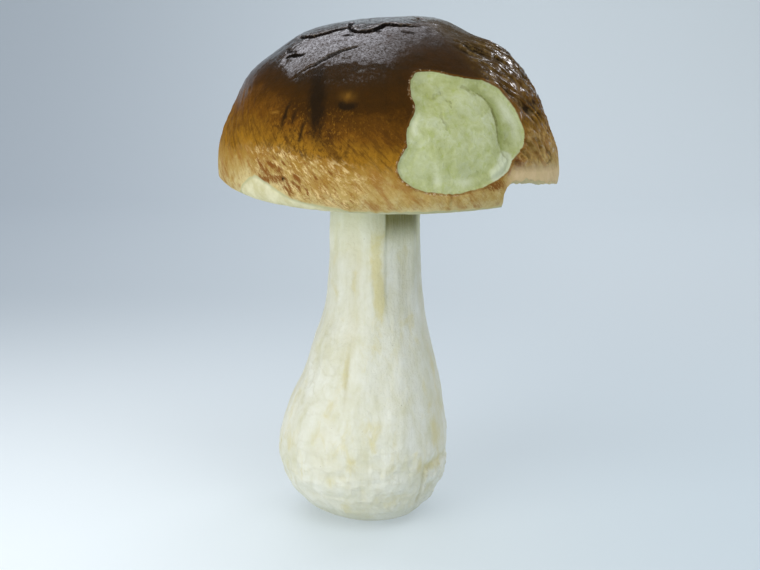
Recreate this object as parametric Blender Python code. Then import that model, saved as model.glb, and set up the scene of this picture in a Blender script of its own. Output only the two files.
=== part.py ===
"""A porcini mushroom, as picked, standing on the small flat at the foot of its club-shaped stem.

Three solids: the cap with its skin, the pore layer under it, and the stem. Metres, +Z up. The origin is
the middle of the flat that the mushroom stands on, -Y is the side that faces the viewer, and +X is to the
viewer's right. Directions on the cap are an azimuth, turned from +X towards +Y, and a height angle above the
cap's widest level, both in degrees.
"""

import math

import bmesh
import bpy
from mathutils import Vector

MM = 0.001
CLEARANCE = 0.3 * MM

# Cap: a low dome, a little fuller than an ellipsoid, whose margin turns in below its widest level.
CAP_CENTRE_X = 4.5 * MM
CAP_RADIUS = 60.0 * MM
DOME_HEIGHT = 53.0 * MM
WIDEST_LEVEL = 132.5 * MM
SIDE_FULLNESS = 0.94
CROWN_FULLNESS = 0.93
LIP_THICKNESS = 3.0 * MM
LIP_HEIGHT = 3.0 * MM
# The margin's lowest line, every 45 degrees from +X: its radius and its drop below the widest level, in
# millimetres. It hangs lower on the right and curls higher on the left.
MARGIN_LINE = (
    (57.0, 8.0),
    (56.5, 6.5),
    (55.5, 5.0),
    (55.5, 3.6),
    (56.5, 2.4),
    (55.4, 5.4),
    (56.0, 6.4),
    (54.8, 7.0),
)

# Swellings (+) and hollows (-) of the cap: azimuth, height angle, spread in degrees, push in millimetres.
CAP_LUMPS = (
    (-168, 8, 14, 0.8),
    (-168, 26, 12, -1.1),
    (-168, 38, 11, 1.6),
    (-168, 50, 12, -0.5),
    (-168, 63, 12, 1.1),
    (-4, 2, 12, 1.9),
    (-4, 20, 16, -1.0),
    (-4, 50, 11, 1.5),
    (-4, 61, 10, -0.9),
    (-4, 74, 12, 2.0),
    (-115, 30, 16, -0.9),
    (-90, 60, 16, -0.6),
    (60, 35, 30, 1.2),
    (125, 20, 26, -1.2),
    (95, 62, 20, 0.9),
)

# Flesh of the cap over the tubes: its underside in the middle, measured up from the widest level, and how
# deep the tubes are where they meet the lip.
FLESH_LEVEL_IN_MIDDLE = 8.5 * MM
TUBES_AT_LIP = 3.2 * MM

# Where the skin is gone from the cap's front: the outline as azimuth and height angle.
BARE_PATCH_OUTLINE = (
    (-81.3, 39),
    (-78.7, 43),
    (-74, 43.6),
    (-68, 42.4),
    (-63, 40.9),
    (-57, 39.8),
    (-50, 38.4),
    (-45, 35.4),
    (-41.5, 30),
    (-39.5, 24),
    (-38.4, 19),
    (-39.6, 14.6),
    (-43, 11.2),
    (-47, 8.8),
    (-48.6, 6.2),
    (-51.5, 4.2),
    (-56, 2.3),
    (-61, 1),
    (-67, 0.3),
    (-73, 0.3),
    (-79.5, 1),
    (-84.7, 3.5),
    (-87.4, 7.6),
    (-86.4, 11.4),
    (-84.4, 14.8),
    (-84.5, 19),
    (-83.3, 22.6),
    (-81.6, 26),
    (-81, 29.6),
    (-81.9, 33.5),
)
BARE_PATCH_DEPTH = 1.7 * MM
BARE_PATCH_RIM_DEPTH = 0.9 * MM
BARE_PATCH_RINGS = (0.94, 0.84, 0.72, 0.59, 0.45, 0.3, 0.15)
# Relief of the bare flesh: azimuth, height angle, spread in degrees, millimetres above (+) the general depth.
BARE_FLESH_RELIEF = (
    (-46, 17, 6, -1.5),
    (-48, 26, 6, -1.0),
    (-55, 14, 5, 0.7),
    (-55, 23, 6, 0.8),
    (-60, 32, 5, 0.6),
    (-53, 5, 5, 0.9),
    (-68, 10, 9, 0.6),
    (-70, 35, 5, -0.7),
    (-79, 31, 5, -0.5),
    (-80, 23, 5, 0.5),
    (-72, 22, 7, 0.4),
    (-64, 4, 5, -0.4),
    (-80, 9, 6, 0.4),
)

# Creases in the skin: the path as azimuth and height angle, half width and depth.
CREASES = (
    (
        (
            (-162, 59.5),
            (-155, 59.8),
            (-147, 60.6),
            (-141, 62.6),
            (-137, 65.5),
            (-133, 68.6),
            (-128, 71),
        ),
        1.1 * MM,
        1.4 * MM,
    ),
    (
        (
            (-129, 71.3),
            (-115, 67.3),
            (-102, 68.8),
            (-93, 74.2),
            (-82, 74),
            (-66, 72.6),
            (-57, 72.2),
        ),
        1.2 * MM,
        1.5 * MM,
    ),
    (((-128, 43), (-120, 49.5), (-112, 54.5), (-107, 57)), 1.1 * MM, 1.1 * MM),
    (((-150, 0.5), (-143, 4), (-136, 2), (-127, 1.4), (-113, 0.8)), 1.2 * MM, 1.2 * MM),
)

# The margin is broken away at the front right: x and height above the widest level of the rough edge, in
# millimetres, on a line in front of the axis. The broken face rises towards the viewer, with a roughness of
# waves in radians to a millimetre of x and y, set on rows at their distances from the axis.
BREAK_LINE = (
    (41.8, -12.0),
    (42.1, -5.0),
    (43.0, -2.8),
    (44.8, -1.0),
    (47.5, -0.5),
    (50.5, 0.3),
    (53.0, -0.2),
    (55.5, 0.0),
    (59.0, -0.4),
    (62.0, -0.1),
    (67.0, -0.4),
)
BREAK_LINE_Y = -30
BREAK_SLOPE = 0.18
BREAK_ROUGHNESS = 0.4
BREAK_WAVES = (1.3, 0.8)
BREAK_ROWS = (-75, -60, -52, -45, -38, -31, -24, -16, -8, 0, 8, 14)
BREAK_FLOOR = -50

# Pore layer: sponge of fine upright tubes, sunk round the stem and swollen half way out.
PORE_LEVEL_AT_STEM = 1.0 * MM
PORE_SWELL = 6.2 * MM
PORE_SWELL_FULLNESS = 0.8
PORE_PIT_DEPTH = 0.7 * MM

# Stem: half width and sideways shift of its middle at each height, all in millimetres.
STEM_SECTIONS = (
    (0, 11.0, 0.0),
    (1.2, 15.4, -0.2),
    (4, 20.9, -1.9),
    (10, 26.5, -3.8),
    (19, 30.7, -4.8),
    (30, 31.8, -4.6),
    (42, 29.6, -3.7),
    (56, 25.2, -1.8),
    (68, 21.9, -1.1),
    (80, 18.6, -0.1),
    (93, 17.1, -0.2),
    (114, 16.4, 0.1),
    (145, 16.4, 0.1),
)
# Edges (+) and hollows (-) that run up the stem: azimuth, height, spread in degrees, spread up and down and
# push in millimetres.
STEM_FOLDS = (
    (-80, 112, 11, 30, 0.7),
    (-50, 112, 16, 30, -0.6),
    (-112, 100, 14, 30, -0.3),
    (-35, 12, 8, 10, -1.3),
    (-16, 12, 10, 8, 0.9),
    (-62, 42, 14, 24, 0.6),
    (-105, 30, 16, 22, -0.6),
    (-135, 48, 14, 26, 0.5),
    (20, 60, 18, 30, -0.5),
    (95, 40, 16, 30, -0.7),
    (70, 90, 14, 30, 0.5),
    (150, 70, 16, 26, -0.5),
)
STEM_DEPTH_RATIO = 0.96
# Heights, in millimetres, up to which the stem's relief grows in from the ground, and over which it fades
# out under the cap.
RELIEF_GROWN_IN_AT = 5
RELIEF_FADES_FROM, RELIEF_GONE_AT = 116, 128

# Rings and segments of the meshes.
SEGMENTS = 80
DOME_RINGS = 20
MARGIN_RINGS = 4
LIP_RINGS = 4
UNDERSIDE_RINGS = 5
PORE_RINGS = 14
STEM_SEGMENTS = 56
STEM_RINGS = 38
# How much closer together the stem's rings are at the foot than at the neck, as a power.
STEM_RING_SPACING = 1.3


def clear_scene():
    for obj in list(bpy.data.objects):
        bpy.data.objects.remove(obj, do_unlink=True)


def curve(rows, t):
    """The point at a share t between the middle two of four rows, on a smooth curve through them."""
    return tuple(
        0.5 * (2 * q + (r - p) * t + (2 * p - 5 * q + 4 * r - w) * t**2 + (3 * q - p - 3 * r + w) * t**3)
        for p, q, r, w in zip(*rows)
    )


def direction(azimuth, height):
    """Unit vector at an azimuth and a height angle in degrees."""
    a, h = math.radians(azimuth), math.radians(height)
    return Vector((math.cos(h) * math.cos(a), math.cos(h) * math.sin(a), math.sin(h)))


def bumps_at(bumps, azimuth, height):
    """Sum of smooth round bumps at a direction, in metres."""
    here = direction(azimuth, height)
    total = 0.0
    for bump_azimuth, bump_height, spread, push in bumps:
        apart = math.degrees(here.angle(direction(bump_azimuth, bump_height)))
        total += push * MM * math.exp(-((apart / spread) ** 2))
    return total


def turned(azimuth, reach, level):
    """A point at a distance from the cap's axis and a height above the ground."""
    a = math.radians(azimuth)
    return Vector((CAP_CENTRE_X + reach * math.cos(a), reach * math.sin(a), level))


def skin_point(azimuth, height, lift=0.0):
    """A point on the cap's skin, or lifted off it, at a direction above the widest level."""
    polar = math.radians(90 - height)
    grown = 1 + (bumps_at(CAP_LUMPS, azimuth, height) + lift) / CAP_RADIUS
    reach = CAP_RADIUS * math.sin(polar) ** SIDE_FULLNESS * grown
    rise = DOME_HEIGHT * max(math.cos(polar), 0.0) ** CROWN_FULLNESS * grown
    return turned(azimuth, reach, WIDEST_LEVEL + rise)


def margin_edge(azimuth):
    """Radius and height of the margin's lowest line at an azimuth."""
    count = len(MARGIN_LINE)
    place = azimuth % 360 / 360 * count
    i = int(place)
    radius, drop = curve([MARGIN_LINE[(i + k) % count] for k in (-1, 0, 1, 2)], place - i)
    return radius * MM + bumps_at(CAP_LUMPS, azimuth, 0), WIDEST_LEVEL - drop * MM


def margin_point(azimuth, turn):
    """A point on the rolled margin. turn is 0 at the widest level, 90 at the lowest line and 180 inside
    the lip."""
    t = math.radians(turn)
    radius, edge_level = margin_edge(azimuth)
    widest = CAP_RADIUS + bumps_at(CAP_LUMPS, azimuth, 0)
    if turn <= 90:
        reach = radius + (widest - radius) * math.cos(t)
        level = WIDEST_LEVEL - (WIDEST_LEVEL - edge_level) * math.sin(t)
    else:
        reach = radius + LIP_THICKNESS * math.cos(t)
        level = edge_level + LIP_HEIGHT * (1 - math.sin(t))
    return turned(azimuth, reach, level)


def flesh_level(azimuth, share):
    """Height of the line between flesh and tubes, at a share of the way from the cap's axis to the lip."""
    middle = WIDEST_LEVEL + FLESH_LEVEL_IN_MIDDLE
    at_lip = margin_edge(azimuth)[1] + LIP_HEIGHT + TUBES_AT_LIP
    return middle + (at_lip - middle) * share**2


def flesh_level_over(point):
    """Height of the line between flesh and tubes over a point."""
    x, y = point.x - CAP_CENTRE_X, point.y
    azimuth = math.degrees(math.atan2(y, x))
    return flesh_level(azimuth, math.hypot(x, y) / (margin_edge(azimuth)[0] - LIP_THICKNESS))


def solid_from_rings(name, rings, start=None, end=None):
    """A closed solid from rings of points of equal count. A start or end point closes it to a pole, and
    without both the last ring joins the first."""
    mesh = bmesh.new()
    loops = [[mesh.verts.new(p) for p in ring] for ring in rings]
    count = len(loops[0])
    pairs = list(zip(loops, loops[1:]))
    if start is None and end is None:
        pairs.append((loops[-1], loops[0]))
    for upper, lower in pairs:
        for i in range(count):
            j = (i + 1) % count
            mesh.faces.new((upper[i], lower[i], lower[j], upper[j]))
    for pole, loop in ((start, loops[0]), (end, loops[-1])):
        if pole is not None:
            tip = mesh.verts.new(pole)
            for i in range(count):
                mesh.faces.new((tip, loop[i], loop[(i + 1) % count]))
    bmesh.ops.triangulate(mesh, faces=mesh.faces)
    bmesh.ops.recalc_face_normals(mesh, faces=mesh.faces)
    data = bpy.data.meshes.new(name)
    mesh.to_mesh(data)
    mesh.free()
    data.shade_smooth()
    data.set_sharp_from_angle(angle=math.radians(50))
    obj = bpy.data.objects.new(name, data)
    bpy.context.scene.collection.objects.link(obj)
    return obj


def finish(obj, colour, roughness):
    """Gives a part its own material."""
    material = bpy.data.materials.new(obj.name)
    material.use_nodes = True
    shader = material.node_tree.nodes["Principled BSDF"]
    shader.inputs["Base Color"].default_value = (*colour, 1.0)
    shader.inputs["Roughness"].default_value = roughness
    shader.inputs["Metallic"].default_value = 0.0
    material.diffuse_color = (*colour, 1.0)
    obj.data.materials.append(material)


def cut(obj, cutter):
    """Takes a hidden cutter's shape out of a part."""
    cutter.hide_render = True
    cutter.display_type = "WIRE"
    boolean = obj.modifiers.new(cutter.name, "BOOLEAN")
    boolean.operation = "DIFFERENCE"
    boolean.object = cutter


def make_cap():
    """The dome of skin and flesh, closed underneath by the line where the tubes begin."""
    azimuths = [360 * i / SEGMENTS for i in range(SEGMENTS)]
    rings = []
    for k in range(1, DOME_RINGS + 1):
        height = 90 - 90 * k / DOME_RINGS
        rings.append([skin_point(a, height) for a in azimuths])
    for k in range(1, MARGIN_RINGS + 1):
        rings.append([margin_point(a, 90 * k / MARGIN_RINGS) for a in azimuths])
    for k in range(1, LIP_RINGS + 1):
        rings.append([margin_point(a, 90 + 90 * k / LIP_RINGS) for a in azimuths])
    for k in range(UNDERSIDE_RINGS):
        share = 1 - k / UNDERSIDE_RINGS
        rings.append(
            [
                turned(a, (margin_edge(a)[0] - LIP_THICKNESS) * share, flesh_level(a, share))
                for a in azimuths
            ]
        )
    return solid_from_rings(
        "cap", rings, start=skin_point(0, 90), end=turned(0, 0, flesh_level(0, 0))
    )


def closed_curve(corners, steps):
    """Points along a smooth closed curve through the corners."""
    count = len(corners)
    return [
        curve([corners[(i + k) % count] for k in (-1, 0, 1, 2)], step / steps)
        for i in range(count)
        for step in range(steps)
    ]


def make_patch_cutter():
    """The missing skin: a shallow plate whose inner face is the relief of the bare flesh."""
    outline = closed_curve(BARE_PATCH_OUTLINE, 2)
    middle = [sum(values) / len(outline) for values in zip(*outline)]
    outside, top_share = 3.0 * MM, 0.3

    def flesh_point(azimuth, height):
        relief = bumps_at(BARE_FLESH_RELIEF, azimuth, height)
        return skin_point(azimuth, height, relief - BARE_PATCH_DEPTH)

    rings = [
        [skin_point(*between(middle, corner, top_share), outside) for corner in outline],
        [skin_point(*corner, outside) for corner in outline],
        [skin_point(*corner, -BARE_PATCH_RIM_DEPTH) for corner in outline],
    ]
    for share in BARE_PATCH_RINGS:
        rings.append([flesh_point(*between(middle, corner, share)) for corner in outline])
    return solid_from_rings(
        "bare_patch_cutter", rings, start=skin_point(*middle, outside), end=flesh_point(*middle)
    )


def between(first, second, share):
    """The pair of values at a share of the way from the first pair to the second."""
    return [p + (q - p) * share for p, q in zip(first, second)]


def make_break_cutter():
    """The piece of margin that broke away: all that is under its rough face."""
    rings = []
    for y in BREAK_ROWS:
        face = []
        for x, z in BREAK_LINE:
            roughness = BREAK_ROUGHNESS * (1 + math.sin(BREAK_WAVES[0] * x + BREAK_WAVES[1] * y))
            face.append((x, z - BREAK_SLOPE * (y - BREAK_LINE_Y) + roughness))
        corners = [*face, (BREAK_LINE[-1][0], BREAK_FLOOR), (BREAK_LINE[0][0], BREAK_FLOOR)]
        rings.append([Vector((x * MM, y * MM, WIDEST_LEVEL + z * MM)) for x, z in corners])
    ends = [sum(ring, Vector()) / len(ring) for ring in (rings[0], rings[-1])]
    return solid_from_rings("break_cutter", rings, start=ends[0], end=ends[1])


def make_crease_cutter(number, path, half_width, depth):
    """A groove along a path on the skin, sharp at its bottom and fading out at both ends."""
    padded = [path[0], *path, path[-1]]
    steps = 3
    points = [
        curve(padded[i : i + 4], step / steps) for i in range(len(path) - 1) for step in range(steps)
    ]
    points.append(path[-1])
    above = 1.0 * MM
    rings = []
    for i, (azimuth, height) in enumerate(points[1:-1], start=1):
        here = skin_point(azimuth, height)
        outward = (skin_point(azimuth, height, above) - here).normalized()
        along = skin_point(*points[i + 1]) - skin_point(*points[i - 1])
        fade = math.sin(math.pi * i / (len(points) - 1)) ** 0.5
        side = outward.cross(along).normalized() * half_width * fade
        top = outward * above
        rings.append([here + side + top, here - outward * depth * fade, here - side + top])
    start, end = skin_point(*points[0], above / 2), skin_point(*points[-1], above / 2)
    return solid_from_rings(f"crease_{number}_cutter", rings, start=start, end=end)


def make_pore_layer():
    """The ring of tubes between the stem and the lip, with its pitted mouths below."""
    azimuths = [360 * i / SEGMENTS for i in range(SEGMENTS)]
    stem_half, stem_shift = stem_section(WIDEST_LEVEL)
    inner_reach = stem_half + 2 * CLEARANCE

    def pore_point(azimuth, share, level):
        a = math.radians(azimuth)
        inner = Vector((stem_shift + inner_reach * math.cos(a), inner_reach * math.sin(a), 0))
        outer = turned(azimuth, margin_edge(azimuth)[0] - LIP_THICKNESS - CLEARANCE, 0)
        flat = inner.lerp(outer, share)
        flat.z = level
        return flat

    def mouth_level(azimuth, share):
        at_lip = margin_edge(azimuth)[1] + LIP_HEIGHT - CLEARANCE
        at_stem = WIDEST_LEVEL + PORE_LEVEL_AT_STEM
        swell = PORE_SWELL * math.sin(math.pi * share) ** PORE_SWELL_FULLNESS
        return at_stem + (at_lip - at_stem) * share - swell

    rings = []
    for k in range(PORE_RINGS + 1):
        share = k / PORE_RINGS
        ring = []
        for i, azimuth in enumerate(azimuths):
            inside = 0 < k < PORE_RINGS
            pit = PORE_PIT_DEPTH * (1 if (i + k) % 2 else -1) if inside else 0
            ring.append(pore_point(azimuth, share, mouth_level(azimuth, share) + pit))
        rings.append(ring)
    for k in range(UNDERSIDE_RINGS + 1):
        share = 1 - k / UNDERSIDE_RINGS
        ring = []
        for azimuth in azimuths:
            point = pore_point(azimuth, share, 0)
            point.z = flesh_level_over(point) - CLEARANCE
            ring.append(point)
        rings.append(ring)
    return solid_from_rings("pore_layer", rings)


def stem_section(level):
    """Half width and sideways shift of the stem at a height, on a smooth curve through its sections."""
    rows = [[value * MM for value in row] for row in STEM_SECTIONS]
    last = len(rows) - 2
    i = max(k for k in range(last + 1) if rows[k][0] <= level or k == 0)
    here, there = rows[i], rows[i + 1]
    before, after = rows[max(i - 1, 0)], rows[min(i + 2, len(rows) - 1)]
    span = there[0] - here[0]
    t = min(max((level - here[0]) / span, 0.0), 1.0)
    found = []
    for c in (1, 2):
        slope_here = (there[c] - before[c]) / (there[0] - before[0]) * span
        slope_there = (after[c] - here[c]) / (after[0] - here[0]) * span
        found.append(
            (2 * t**3 - 3 * t**2 + 1) * here[c]
            + (t**3 - 2 * t**2 + t) * slope_here
            + (3 * t**2 - 2 * t**3) * there[c]
            + (t**3 - t**2) * slope_there
        )
    return found


def stem_relief(azimuth, level):
    """Height of the stem's folds, lengthwise ridges and dents over its plain round form, in metres."""
    a, z = math.radians(azimuth), level / MM
    relief = 0.22 * math.sin(7 * a + 0.9 + 0.5 * math.sin(z / 17))
    relief += 0.18 * math.sin(11 * a + 2.1 + 0.8 * math.sin(z / 23 + 1))
    relief += 0.30 * math.sin(3 * a + z / 14) * math.sin(z / 11 + 0.6)
    for fold_azimuth, height, turn, length, push in STEM_FOLDS:
        around = (azimuth - fold_azimuth + 180) % 360 - 180
        relief += push * math.exp(-((around / turn) ** 2) - ((z - height) / length) ** 2)
    faded = (RELIEF_GONE_AT - z) / (RELIEF_GONE_AT - RELIEF_FADES_FROM)
    return relief * min(1.0, z / RELIEF_GROWN_IN_AT) * min(1.0, max(0.0, faded)) * MM


def make_stem():
    """The club: a small flat to stand on, a swollen foot and a neck that runs up into the cap."""
    azimuths = [360 * i / STEM_SEGMENTS for i in range(STEM_SEGMENTS)]
    top_half, top_shift = stem_section(WIDEST_LEVEL)
    rings = []
    for k in range(STEM_RINGS + 1):
        share = (k / STEM_RINGS) ** STEM_RING_SPACING
        ring = []
        for azimuth in azimuths:
            a = math.radians(azimuth)
            top = flesh_level_over(
                Vector((top_shift + top_half * math.cos(a), top_half * math.sin(a)))
            )
            level = share * (top - CLEARANCE)
            half, shift = stem_section(level)
            reach = half + stem_relief(azimuth, level)
            ring.append(
                Vector((shift + reach * math.cos(a), STEM_DEPTH_RATIO * reach * math.sin(a), level))
            )
        rings.append(ring)
    top_middle = Vector((0, 0, flesh_level_over(Vector((0, 0, 0))) - CLEARANCE))
    return solid_from_rings("stem", rings, start=Vector((0, 0, 0)), end=top_middle)


def main():
    clear_scene()
    cap, pore_layer, stem = make_cap(), make_pore_layer(), make_stem()
    cut(cap, make_patch_cutter())
    for number, crease in enumerate(CREASES, start=1):
        cut(cap, make_crease_cutter(number, *crease))
    break_cutter = make_break_cutter()
    cut(cap, break_cutter)
    cut(pore_layer, break_cutter)
    finish(cap, (0.20, 0.09, 0.02), 0.35)
    finish(pore_layer, (0.62, 0.62, 0.38), 0.85)
    finish(stem, (0.78, 0.76, 0.62), 0.70)


main()
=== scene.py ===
"""A porcini mushroom, as picked, standing on the small flat at the foot of its stem.

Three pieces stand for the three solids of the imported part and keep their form: the cap, the layer of
tubes under it and the stem. Shapes are worked out in millimetres, in the part's own frame: +Z up, -Y
towards the viewer and +X to the viewer's right. A direction on the cap is an azimuth, turned from +X
towards +Y, and a height angle above the cap's widest level, both in degrees.
"""

import bpy
import numpy as np
from mathutils import Matrix, Vector


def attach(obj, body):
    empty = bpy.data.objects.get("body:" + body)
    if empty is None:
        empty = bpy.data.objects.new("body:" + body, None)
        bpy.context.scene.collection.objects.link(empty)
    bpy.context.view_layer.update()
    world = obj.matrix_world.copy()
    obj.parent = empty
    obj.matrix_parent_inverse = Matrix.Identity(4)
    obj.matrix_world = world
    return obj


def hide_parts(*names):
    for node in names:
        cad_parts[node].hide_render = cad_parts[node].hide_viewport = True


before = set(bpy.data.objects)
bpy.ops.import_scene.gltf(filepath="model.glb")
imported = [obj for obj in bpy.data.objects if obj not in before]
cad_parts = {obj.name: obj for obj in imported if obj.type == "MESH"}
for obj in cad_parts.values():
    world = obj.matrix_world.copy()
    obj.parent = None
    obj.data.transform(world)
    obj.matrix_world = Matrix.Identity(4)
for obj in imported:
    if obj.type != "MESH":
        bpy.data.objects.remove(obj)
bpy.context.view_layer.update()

# The cap's form
# A dome of firm pale flesh under a thin brown skin, a little fuller than an ellipsoid, with a rolled margin
# that turns in below its widest level. It is one growth, so nothing is fixed to it. Sizes in millimetres.

CAP_CENTRE_X = 4.5
CAP_RADIUS = 60.0
DOME_HEIGHT = 53.0
WIDEST_LEVEL = 132.5
SIDE_FULLNESS = 0.94
CROWN_FULLNESS = 0.93
LIP_THICKNESS = 3.0
LIP_HEIGHT = 3.0
# The margin's lowest line, every 45 degrees from +X: its radius and its drop below the widest level.
MARGIN_LINE = (
    (57.0, 8.0), (56.5, 6.5), (55.5, 5.0), (55.5, 3.6), (56.5, 2.4), (55.4, 5.4), (56.0, 6.4), (54.8, 7.0),
)
# Swellings (+) and hollows (-): azimuth, height angle, spread in degrees, push.
CAP_LUMPS = (
    (-168, 8, 14, 0.8), (-168, 26, 12, -1.1), (-168, 38, 11, 1.6), (-168, 50, 12, -0.5),
    (-168, 63, 12, 1.1), (-4, 2, 12, 1.9), (-4, 20, 16, -1.0), (-4, 50, 11, 1.5), (-4, 61, 10, -0.9),
    (-4, 74, 12, 2.0), (-115, 30, 16, -0.9), (-90, 60, 16, -0.6), (60, 35, 30, 1.2),
    (125, 20, 26, -1.2), (95, 62, 20, 0.9),
)
FLESH_LEVEL_IN_MIDDLE = 8.5
TUBES_AT_LIP = 3.2


def smooth_curve(rows, t):
    """The cubic through four rows of values, at shares t of the way from the second row to the third."""
    p, q, r, w = rows
    return 0.5 * (2 * q + (r - p) * t + (2 * p - 5 * q + 4 * r - w) * t**2 + (3 * q - p - 3 * r + w) * t**3)


def facing(azimuth, height):
    """Unit vectors at azimuths and height angles in degrees."""
    a, h = np.radians(azimuth), np.radians(height)
    return np.stack(np.broadcast_arrays(np.cos(h) * np.cos(a), np.cos(h) * np.sin(a), np.sin(h)), -1)


def lumps(azimuth, height, rows):
    """Sum of round bumps on the cap: push times exp(-(angle from its middle / spread) squared)."""
    here = facing(azimuth, height)
    total = np.zeros(here.shape[:-1])
    for lump_azimuth, lump_height, spread, push in rows:
        apart = np.degrees(np.arccos(np.clip(here @ facing(lump_azimuth, lump_height), -1, 1)))
        total += push * np.exp(-((apart / spread) ** 2))
    return total


def turned(azimuth, reach, level):
    """Points at a distance from the cap's axis and a height above the ground."""
    a = np.radians(azimuth)
    return np.stack(
        np.broadcast_arrays(CAP_CENTRE_X + reach * np.cos(a), reach * np.sin(a), level), -1
    )


def skin(azimuth, height, lift=0.0):
    """Points of the dome: reach is the radius times cos(height) to the 0.94, rise is the dome's height times
    sin(height) to the 0.93, and both grow with the lumps and the lift."""
    h = np.radians(height)
    grown = 1 + (lumps(azimuth, height, CAP_LUMPS) + lift) / CAP_RADIUS
    reach = CAP_RADIUS * np.cos(h) ** SIDE_FULLNESS * grown
    rise = DOME_HEIGHT * np.maximum(np.sin(h), 0) ** CROWN_FULLNESS * grown
    return turned(azimuth, reach, WIDEST_LEVEL + rise)


def margin_edge(azimuth):
    """Radius and height of the margin's lowest line, on a smooth closed curve through its rows."""
    rows = np.array(MARGIN_LINE)
    place = np.mod(azimuth, 360) / 360 * len(rows)
    i = np.floor(place).astype(int)
    around = [rows[(i + k) % len(rows)] for k in (-1, 0, 1, 2)]
    found = smooth_curve(around, (place - i)[..., None])
    return found[..., 0] + lumps(azimuth, 0, CAP_LUMPS), WIDEST_LEVEL - found[..., 1]


def flesh_level(azimuth, share):
    """Height of the line between flesh and tubes: it falls with the square of the share of the way out."""
    middle = WIDEST_LEVEL + FLESH_LEVEL_IN_MIDDLE
    at_lip = margin_edge(azimuth)[1] + LIP_HEIGHT + TUBES_AT_LIP
    return middle + (at_lip - middle) * share**2


def flesh_level_over(x, y):
    """Height of the line between flesh and tubes over points of the ground."""
    azimuth = np.degrees(np.arctan2(y, x - CAP_CENTRE_X))
    return flesh_level(azimuth, np.hypot(x - CAP_CENTRE_X, y) / (margin_edge(azimuth)[0] - LIP_THICKNESS))


# The torn margin
# At the front right a piece of the margin broke off when the mushroom was handled, and left a rough face of
# pale flesh and tubes. Rows are x and height above the widest level, 30 mm in front of the axis.

BREAK_LINE = (
    (41.8, -12.0), (42.1, -5.0), (43.0, -2.8), (44.8, -1.0), (47.5, -0.5), (50.5, 0.3), (53.0, -0.2),
    (55.5, 0.0), (59.0, -0.4), (62.0, -0.1), (67.0, -0.4),
)
BREAK_SLOPE = 0.18
BREAK_ROUGHNESS = 0.4
BREAK_ENDS_AT_Y = 14.0
BREAK_LINE_Y = -30.0
FAR_BELOW = 50.0
# Spreads the cells of a lattice over a table of random values.
LATTICE_PRIMES = np.array([73856093, 19349663, 83492791])


def noise(points, seed):
    """Smooth noise from -1 to 1: random values on a unit lattice, blended across each cell."""
    table = np.random.default_rng(seed).uniform(-1, 1, 8192)
    cell = np.floor(points).astype(np.int64)
    t = points - cell
    t = t * t * (3 - 2 * t)
    total = np.zeros(points.shape[:-1])
    for corner in np.ndindex(2, 2, 2):
        key = (cell + corner) @ LATTICE_PRIMES
        total += table[key % len(table)] * np.where(corner, t, 1 - t).prod(-1)
    return total


def break_level(x, y):
    """Height of the torn face over points of the ground: the break line read at x, falling away from the
    viewer by its slope, roughened by a sine and by noise, and far below the cap where nothing is
    missing."""
    line_x, line_z = np.array(BREAK_LINE).T
    level = np.interp(x, line_x, line_z, left=-FAR_BELOW)
    level = level - BREAK_SLOPE * (y - BREAK_LINE_Y)
    level = level + BREAK_ROUGHNESS * (0.7 + 0.5 * np.sin(0.8 * y + 1.3 * x))
    at = np.stack(np.broadcast_arrays(x, y, 0.0), -1)
    level = level + 0.35 * noise(at / 1.8, 61) + 0.25 * noise(at / 1.0, 62)
    return WIDEST_LEVEL + np.where(y > BREAK_ENDS_AT_Y, -FAR_BELOW, level)


# The skin's relief
# Where the skin was torn off the front, firm flesh shows a millimetre or two deeper, in soft lumps. Round it
# the skin is creased across the crown, wrinkled on the right and finely grained like leather all over.

BARE_PATCH_OUTLINE = (
    (-81.3, 39), (-78.7, 43), (-74, 43.6), (-68, 42.4), (-63, 40.9), (-57, 39.8), (-50, 38.4), (-45, 35.4),
    (-41.5, 30), (-39.5, 24), (-38.4, 19), (-39.6, 14.6), (-43, 11.2), (-47, 8.8), (-48.6, 6.2),
    (-51.5, 4.2), (-56, 2.3), (-61, 1), (-67, 0.3), (-73, 0.3), (-79.5, 1), (-84.7, 3.5), (-87.4, 7.6),
    (-86.4, 11.4), (-84.4, 14.8), (-84.5, 19), (-83.3, 22.6), (-81.6, 26), (-81, 29.6), (-81.9, 33.5),
)
BARE_PATCH_RIM_DEPTH = 0.9
BARE_PATCH_DEPTH = 1.7
BARE_FLESH_RELIEF = (
    (-47.6, 17, 4, -0.8), (-48.4, 26, 3.5, -0.5), (-55, 14, 5, 0.7), (-55, 23, 6, 0.8), (-60, 32, 5, 0.6),
    (-53, 5, 5, 0.9), (-68, 10, 9, 0.6), (-70, 35, 5, -0.7), (-79, 31, 5, -0.5), (-80, 23, 5, 0.5),
    (-72, 22, 7, 0.4), (-64, 4, 5, -0.4), (-80, 9, 6, 0.4),
)
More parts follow.
